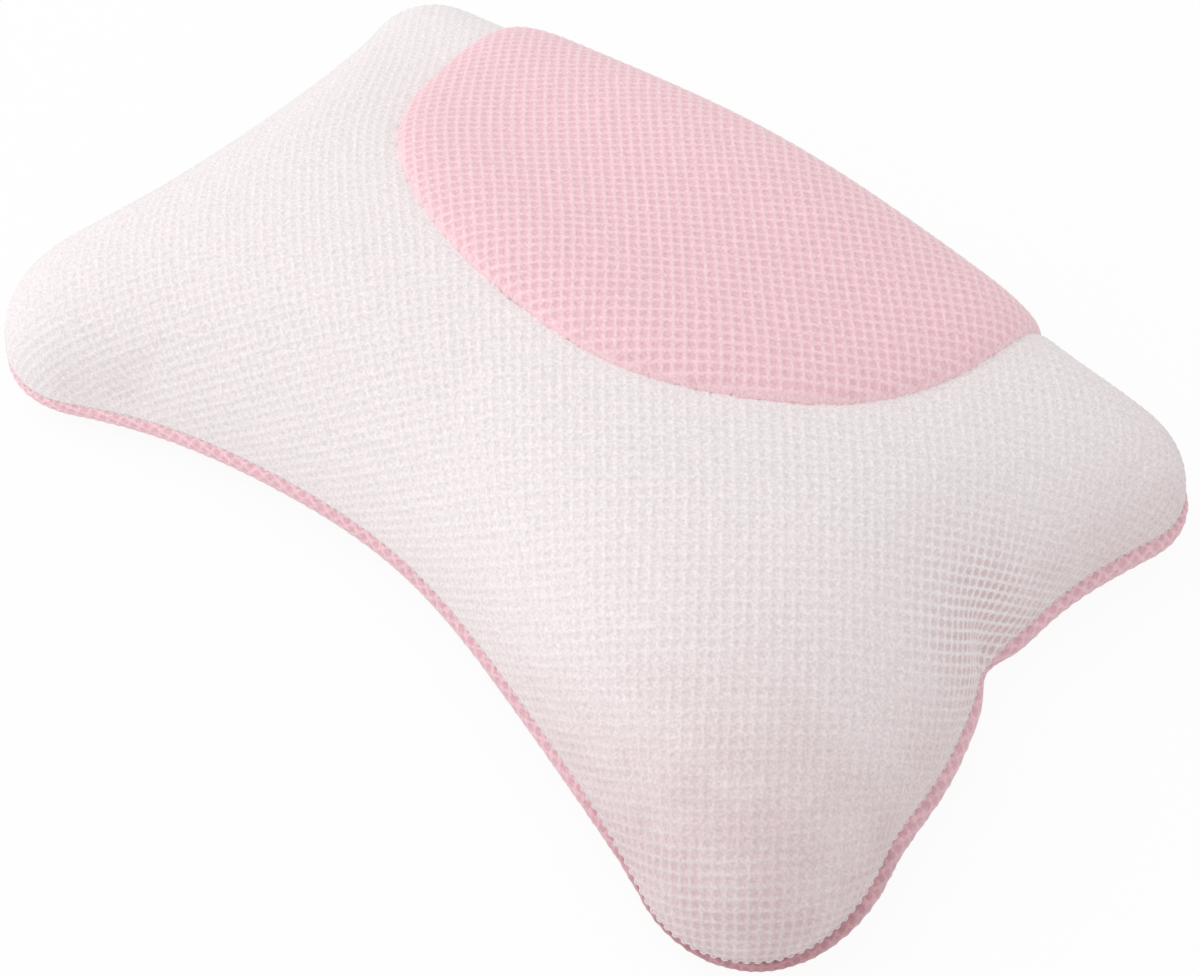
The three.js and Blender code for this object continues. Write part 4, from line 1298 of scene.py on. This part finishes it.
class BATHPILLOW_OT_seams(bpy.types.Operator):
    """Sew the edge seam and the head panel's seam with rows of stitches"""

    bl_idname = "bath_pillow.seams"
    bl_label = "Seams"

    def execute(self, context):
        scene = context.scene
        form, head, seam = scene.pillow_form, scene.pillow_head, scene.pillow_seam
        thread = sewing_thread("sewing thread", scene.pillow_colours.thread)
        edge = outline(form, -form.edge_crease * seam.inset, spacing=0.001)
        edge = np.concatenate([edge, edge[:1]])
        path = np.concatenate([edge, np.full((len(edge), 1), form.seam_height)], 1)
        ahead = np.gradient(edge, axis=0)
        outward = unit(np.stack([ahead[:, 1], -ahead[:, 0], np.zeros(len(edge))], 1))
        path = settle(form, scene.pillow_cup, path)
        row = stitch_row("edge_stitches", path, outward, seam)
        dress(row, "pillow", ["edge_seam_thread"], thread)
        surface = blown_surface(form)
        turn = np.linspace(-math.pi / 2, math.pi / 2, 400)
        top = head_start(form, head)
        power = 2 / head.fullness
        oval = np.stack([head.half_width * np.sign(turn) * np.abs(np.sin(turn)) ** power,
                         top - head.reach * np.abs(np.cos(turn)) ** power], 1)
        sides = np.linspace(0, head.side * seam.sewn, 30)[1:]
        right = np.stack([np.full(len(sides), head.half_width), top + sides], 1)
        plan = np.concatenate([right[::-1] * [-1, 1], oval, right])
        at = locate(surface[..., :2], plan)
        place, du, dv = sample(surface, at)
        normal = unit(np.cross(du, dv))
        path = settle(form, scene.pillow_cup, place - normal * (head.crease + 2 * seam.radius))
        row = stitch_row("head_stitches", path, normal, seam)
        dress(row, "pillow", ["head_seam_thread"], thread)
        return {"FINISHED"}


# Fillings

def lumps(points, size, seed):
    """Smooth uneven lumps from about -1 to 1: a sum of waves in fixed, seeded directions."""
    draw = np.random.default_rng(seed)
    ways = unit(draw.normal(size=(WAVES, 3))) * (2 * math.pi / size) * draw.uniform(0.6, 1.8, WAVES)[:, None]
    return np.sin(points @ ways.T + draw.uniform(0, 2 * math.pi, WAVES)).sum(1) / 6


def closed_pad(name, top, bottom):
    """A closed form from two grids that share their border."""
    rows, columns = top.shape[:2]
    number = np.arange(rows * columns).reshape(rows, columns)
    under = number + rows * columns
    under[0], under[-1], under[:, 0], under[:, -1] = number[0], number[-1], number[:, 0], number[:, -1]
    upper = grid_faces(rows, columns)
    lower = under.ravel()[upper][:, ::-1]
    points = np.concatenate([top.reshape(-1, 3), bottom.reshape(-1, 3)])
    return make_piece(name, *trimmed(points, [upper, lower], {}))


def fibre_sides(form, head, rim, cup, fill, surface):
    """Top and underside of the filling: the cover's grid drawn in and lowered, with room for the head pad,
    lumps, and hollows over the cups' fittings."""
    plan = surface[..., :2].reshape(-1, 2) * (1 - 2 * fill.inset / np.array([form.width, form.depth]))
    height = (surface[..., 2].ravel() - form.seam_height) * fill.height + form.seam_height - fill.gap
    low = rim.base_height + fill.floor
    inside = 1 - smoothstep(head_measure(form, head, plan), fill.pad_inner, fill.pad_outer)
    room = np.minimum(fill.pad_room * inside, (height - low) * fill.pad_share)
    top = np.concatenate([plan, (height - room)[:, None]], 1)
    top[:, 2] += fill.lump * lumps(top, fill.lump_size, 3)
    over = 1 - smoothstep(cup_distance(cup, plan), fill.hollow_inner, fill.hollow_outer)
    floor = np.minimum(low + fill.hollow * over, top[:, 2] - fill.least)
    return top, np.concatenate([plan, floor[:, None]], 1)


def pad_sides(form, head, fill, surface, rows, columns):
    """Top and underside of the head pad: a half oval a little smaller than the head panel, with rounded
    edges, that follows the crown under it."""
    u, v = np.meshgrid(np.linspace(-1, 1, columns), np.linspace(0, 1, rows))
    oval = np.clip(1 - (1 - v) ** head.fullness, 0, 1) ** (1 / head.fullness)
    reach = head.reach * fill.pad_size
    ahead = head_start(form, head) - reach + v * (reach + head.side * fill.pad_rear)
    plan = np.stack([u * head.half_width * fill.pad_size * oval, ahead], -1).reshape(-1, 2)
    crowned = sample(surface, locate(surface[..., :2], plan))[0][:, 2]
    rise = head_rise(form, head, plan) - head.crease - fill.pad_gap
    across, along = np.abs(u).ravel(), np.abs(2 * v - 1).ravel()
    rounded = np.sqrt(np.clip((1 - across ** fill.pad_edge) * (1 - along ** fill.pad_edge), 0, 1))
    half = fill.pad_half * np.where(np.maximum(across, along) > 0.999, 0, rounded)
    middle = crowned + rise - fill.pad_sink
    return (np.concatenate([plan, (middle + way * half)[:, None]], 1) for way in (1, -1))


class BATHPILLOW_OT_fillings(bpy.types.Operator):
    """Stuff the pillow with fibre and lay the pad under the head panel"""

    bl_idname = "bath_pillow.fillings"
    bl_label = "Fillings"

    def execute(self, context):
        scene = context.scene
        form, head, cup, fill = scene.pillow_form, scene.pillow_head, scene.pillow_cup, scene.pillow_fill
        fibre = stuffing("polyester fibre", scene.pillow_colours.fibre)
        surface = blown_surface(form)
        size = surface.shape[:2]
        sides = fibre_sides(form, head, scene.pillow_rim, cup, fill, surface)
        pile = closed_pad("fibre_filling", *(settle(form, cup, side).reshape(*size, 3) for side in sides))
        dress(pile, "pillow", ["main_filling"], fibre)
        size = 61, 81
        sides = pad_sides(form, head, fill, surface, *size)
        pad = closed_pad("head_pad_foam", *(settle(form, cup, side).reshape(*size, 3) for side in sides))
        dress(pad, "pillow", ["head_pad"], fibre)
        return {"FINISHED"}


# Cups and their fittings

def turned(sections, segments=64):
    """A profile of (radius, height) points carried round the upright axis. Points on the axis close it, and a
    profile that ends where it starts is a ring. Returns points, as profile by segment, and faces."""
    angle = np.arange(segments) * 2 * math.pi / segments
    sections = np.asarray(sections)
    points = np.stack([sections[:, :1] * np.cos(angle), sections[:, :1] * np.sin(angle),
                       np.repeat(sections[:, 1:], segments, 1)], -1)
    return points.reshape(-1, 3), grid_faces(len(sections), segments, wrapped=True)


def bend(start, control, end, count=10):
    """Points of a curve with one control point, without its start."""
    t = np.linspace(0, 1, count + 1)[1:, None]
    start, control, end = np.array(start), np.array(control), np.array(end)
    return (1 - t) ** 2 * start + 2 * t * (1 - t) * control + t * t * end


def cup_shape(cup, outwards):
    """A cup about its own axis: flat lip, hollow bell, neck and domed head turned about the axis, and a tab
    that grows out of the lip as a flat tongue with a round end and rounded edges."""
    inner = cup.radius - cup.lip
    soft, neck = cup.soft, cup.neck_round
    profile = np.concatenate([
        [[0, cup.hollow]],
        bend((0, cup.hollow), (inner / 2, cup.hollow), (inner, soft), 16),
        bend((inner, soft), (inner, 0), (inner + soft, 0), 4),
        bend((cup.radius - soft, 0), (cup.radius, 0), (cup.radius, soft), 4),
        bend((cup.radius, cup.edge - soft), (cup.radius, cup.edge), (cup.radius - soft, cup.edge + soft), 4),
        bend((cup.radius - soft, cup.edge + soft), (inner - cup.lip, cup.shoulder - cup.edge),
             (cup.shoulder_radius, cup.shoulder), 16),
        bend((cup.neck_radius + neck, cup.shoulder), (cup.neck_radius, cup.shoulder),
             (cup.neck_radius, cup.shoulder + neck), 4),
        bend((cup.neck_radius, cup.head_bottom - soft), (cup.neck_radius, cup.head_bottom),
             (cup.neck_radius + soft, cup.head_bottom), 3),
        bend((cup.head_radius - soft, cup.head_bottom), (cup.head_radius, cup.head_bottom),
             (cup.head_radius, cup.head_bottom + soft), 3),
        bend((cup.head_radius, cup.head_bottom + soft), (cup.head_radius, cup.top), (0, cup.top), 12),
    ])
    body, faces = turned(profile, 96)
    turn = np.linspace(-math.pi / 2, math.pi / 2, 25)
    half = cup.tab_width / 2
    rim_x = np.concatenate([[inner], cup.radius + cup.tab_reach - half + half * np.cos(turn), [inner]])
    rim_y = np.concatenate([[-half], half * np.sin(turn), [half]])
    middle = np.array([(inner + cup.radius) / 2, 0])
    under = [(0, 0), (0.7, 0), (0.96, 0), (1, 0.2)]
    sections = under + [(out, 1 - up) for out, up in reversed(under)]
    tab = np.concatenate([
        np.stack([lerp(middle[0], rim_x, out), lerp(middle[1], rim_y, out),
                  np.full(len(rim_x), cup.edge / 2 + up * cup.tab_thickness)], 1)
        for out, up in sections])
    points = np.concatenate([body, tab]) * [outwards, outwards, 1]
    wall = grid_faces(len(sections), len(rim_x), wrapped=True)
    return points, np.concatenate([faces, wall + len(body)])


def rounded_ring(bore, radius, bottom, top, soft):
    """Closed section of a ring with rounded corners."""
    t = np.linspace(0, math.pi / 2, 5)
    corners = [(radius - soft, bottom + soft, -math.pi / 2), (radius - soft, top - soft, 0),
               (bore + soft, top - soft, math.pi / 2), (bore + soft, bottom + soft, math.pi)]
    section = np.concatenate([np.stack([r + soft * np.cos(t + a), z + soft * np.sin(t + a)], 1)
                              for r, z, a in corners])
    return np.concatenate([section, section[:1]])


def merged(piece):
    """Joins points that lie together, at poles and where a section closes."""
    work = bmesh.new()
    work.from_mesh(piece.data)
    bmesh.ops.remove_doubles(work, verts=work.verts, dist=1e-6)
    bmesh.ops.recalc_face_normals(work, faces=work.faces)
    work.to_mesh(piece.data)
    work.free()
    return piece


class BATHPILLOW_OT_cups(bpy.types.Operator):
    """Build the suction cups with their tabs"""

    bl_idname = "bath_pillow.cups"
    bl_label = "Suction cups"

    def execute(self, context):
        scene = context.scene
        cup = scene.pillow_cup
        vinyl = clear_vinyl("clear vinyl", scene.pillow_colours.vinyl)
        for place, middle in zip(CUP_PLACES, cup_centres(cup)):
            points, faces = cup_shape(cup, math.copysign(1, middle[0]))
            piece = merged(make_piece(f"cup_{place}_bell", points + [*middle, 0], [faces]))
            dress(piece, f"cup_{place}", [f"suction_cup_{place}"], vinyl)
        return {"FINISHED"}


class BATHPILLOW_OT_fittings(bpy.types.Operator):
    """Build the eyelets and patches, and finish the washers"""

    bl_idname = "bath_pillow.fittings"
    bl_label = "Eyelets, washers and patches"

    def execute(self, context):
        scene = context.scene
        cup, tints = scene.pillow_cup, scene.pillow_colours
        nickel = plated("bright nickel", tints.nickel)
        cloth = spacer_mesh("patch mesh", tints.pink_strand, tints.pink_hole)
        wall = cup.eyelet_wall
        barrel = cup.bore_radius + wall
        low, high = cup.flange_bottom, cup.roll_bottom + wall
        flange = rounded_ring(cup.bore_radius, cup.flange_radius, low, low + wall, cup.flange_soft)
        tube = rounded_ring(cup.bore_radius, barrel, low + cup.lap, high - cup.lap, cup.barrel_soft)
        roll = rounded_ring(cup.bore_radius, cup.roll_radius, cup.roll_bottom, high, cup.roll_soft)
        disc = rounded_ring(barrel + cup.patch_gap, cup.patch_radius, cup.patch_bottom,
                            cup.patch_bottom + cup.patch_thickness, cup.patch_soft)
        for place, middle in zip(CUP_PLACES, cup_centres(cup)):
            shapes = [turned(section) for section in (flange, tube, roll)]
            starts = np.cumsum([0] + [len(points) for points, _ in shapes])
            points = np.concatenate([points for points, _ in shapes]) + [*middle, 0]
            faces = np.concatenate([faces + start for (_, faces), start in zip(shapes, starts)])
            eyelet = merged(make_piece(f"eyelet_{place}", points, [faces]))
            dress(eyelet, "pillow", [f"cup_eyelet_{place}"], nickel)
            points, faces = turned(disc)
            patch = merged(make_piece(f"patch_{place}", points + [*middle, 0], [faces]))
            dress(patch, "pillow", [f"cup_patch_{place}"], cloth)
            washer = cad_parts[f"cup_washer_{place}"]
            washer.data.materials.clear()
            washer.data.materials.append(nickel)
        return {"FINISHED"}


class BATHPILLOW_OT_stage(bpy.types.Operator):
    """Set the floor, the studio light and the camera"""

    bl_idname = "bath_pillow.stage"
    bl_label = "Stage"

    def execute(self, context):
        scene = context.scene
        stage = scene.pillow_stage
        corners = np.array([[-1, -1, 0], [1, -1, 0], [1, 1, 0], [-1, 1, 0]]) * stage.half
        floor = make_piece("floor", corners - [0, 0, stage.drop], [np.arange(4)[None]], smooth=False)

        def paper(tree, shader):
            feed(tree, shader, {
                "Base Color": (stage.paper, stage.paper, stage.paper, 1),
                "Roughness": 0.9,
                "Specular IOR Level": 0,
            })
            rays = node(tree, "LightPath").outputs
            through = combine(tree, rays["Is Glossy Ray"], rays["Is Transmission Ray"], "MAXIMUM")
            seen = combine(tree, rays["Is Camera Ray"], through, "MAXIMUM")
            white = combine(tree, seen, stage.glow, "MULTIPLY")
            glow = node(tree, "Emission").outputs["Emission"]
            lit = node(tree, "MixShader", {"Fac": white, 1: shader.outputs["BSDF"], 2: glow})
            below = node(tree, "NewGeometry").outputs["Backfacing"]
            clear = node(tree, "BsdfTransparent").outputs["BSDF"]
            whole = node(tree, "MixShader", {"Fac": below, 1: lit.outputs["Shader"], 2: clear})
            feed(tree, tree.nodes["Material Output"], {"Surface": whole.outputs["Shader"]})

        floor.data.materials.append(material("pale floor", paper))
        world = bpy.data.worlds.new("studio")
        world.use_nodes = True
        tree = world.node_tree
        seen = node(tree, "LightPath").outputs["Is Camera Ray"]
        strength = ramp(tree, seen, (0, 1), (stage.sky, 1))
        feed(tree, tree.nodes["Background"], {"Color": (1, 1, 1, 1), "Strength": strength})
        scene.world = world
        for name, (place, size, watts) in LAMPS.items():
            lamp = bpy.data.lights.new(name, "AREA")
            lamp.energy = watts
            lamp.size = size
            holder = bpy.data.objects.new(name, lamp)
            holder.location = place
            ahead = Vector(LAMP_AIM) - holder.location
            holder.rotation_euler = ahead.to_track_quat("-Z", "Y").to_euler()
            scene.collection.objects.link(holder)
        a, e = stage.azimuth, stage.elevation
        back = Vector((math.sin(a) * math.cos(e), -math.cos(a) * math.cos(e), math.sin(e)))
        camera = bpy.data.objects.new("camera", bpy.data.cameras.new("camera"))
        camera.data.sensor_width = 36
        camera.data.lens = stage.lens
        camera.location = Vector(stage.aim) + back * stage.distance
        camera.rotation_euler = (-back).to_track_quat("-Z", "Y").to_euler()
        scene.collection.objects.link(camera)
        scene.camera = camera
        scene.view_settings.view_transform = "Standard"
        return {"FINISHED"}


GROUPS = {
    "pillow_form": PillowForm,
    "pillow_head": PillowHead,
    "pillow_rim": PillowRim,
    "pillow_mesh": PillowMesh,
    "pillow_seam": PillowSeam,
    "pillow_fill": PillowFill,
    "pillow_cup": PillowCup,
    "pillow_colours": PillowColours,
    "pillow_tint": PillowPaintedShade,
    "pillow_stage": PillowStage,
}
OPERATORS = (
    BATHPILLOW_OT_covers,
    BATHPILLOW_OT_base,
    BATHPILLOW_OT_seams,
    BATHPILLOW_OT_fillings,
    BATHPILLOW_OT_cups,
    BATHPILLOW_OT_fittings,
    BATHPILLOW_OT_stage,
)


class BATHPILLOW_PT_sidebar(bpy.types.Panel):
    """Lists the pillow's pieces and its settings"""

    bl_idname = "BATHPILLOW_PT_sidebar"
    bl_label = "Bath pillow"
    bl_space_type = "VIEW_3D"
    bl_region_type = "UI"
    bl_category = "Bath pillow"

    def draw(self, context):
        for operator in OPERATORS:
            self.layout.operator(operator.bl_idname)
        for key, group in GROUPS.items():
            box = self.layout.box()
            box.label(text=group.__doc__)
            for field in group.__annotations__:
                box.prop(getattr(context.scene, key), field)


def register():
    for key, group in GROUPS.items():
        bpy.utils.register_class(group)
        setattr(bpy.types.Scene, key, PointerProperty(type=group))
    for cls in (*OPERATORS, BATHPILLOW_PT_sidebar):
        bpy.utils.register_class(cls)


def unregister():
    for cls in (BATHPILLOW_PT_sidebar, *reversed(OPERATORS)):
        bpy.utils.unregister_class(cls)
    for key, group in reversed(GROUPS.items()):
        delattr(bpy.types.Scene, key)
        bpy.utils.unregister_class(group)


def main():
    register()
    bpy.ops.bath_pillow.covers()
    bpy.ops.bath_pillow.base()
    bpy.ops.bath_pillow.seams()
    bpy.ops.bath_pillow.fillings()
    bpy.ops.bath_pillow.cups()
    bpy.ops.bath_pillow.fittings()
    bpy.ops.bath_pillow.stage()


if __name__ == "__main__":
    main()
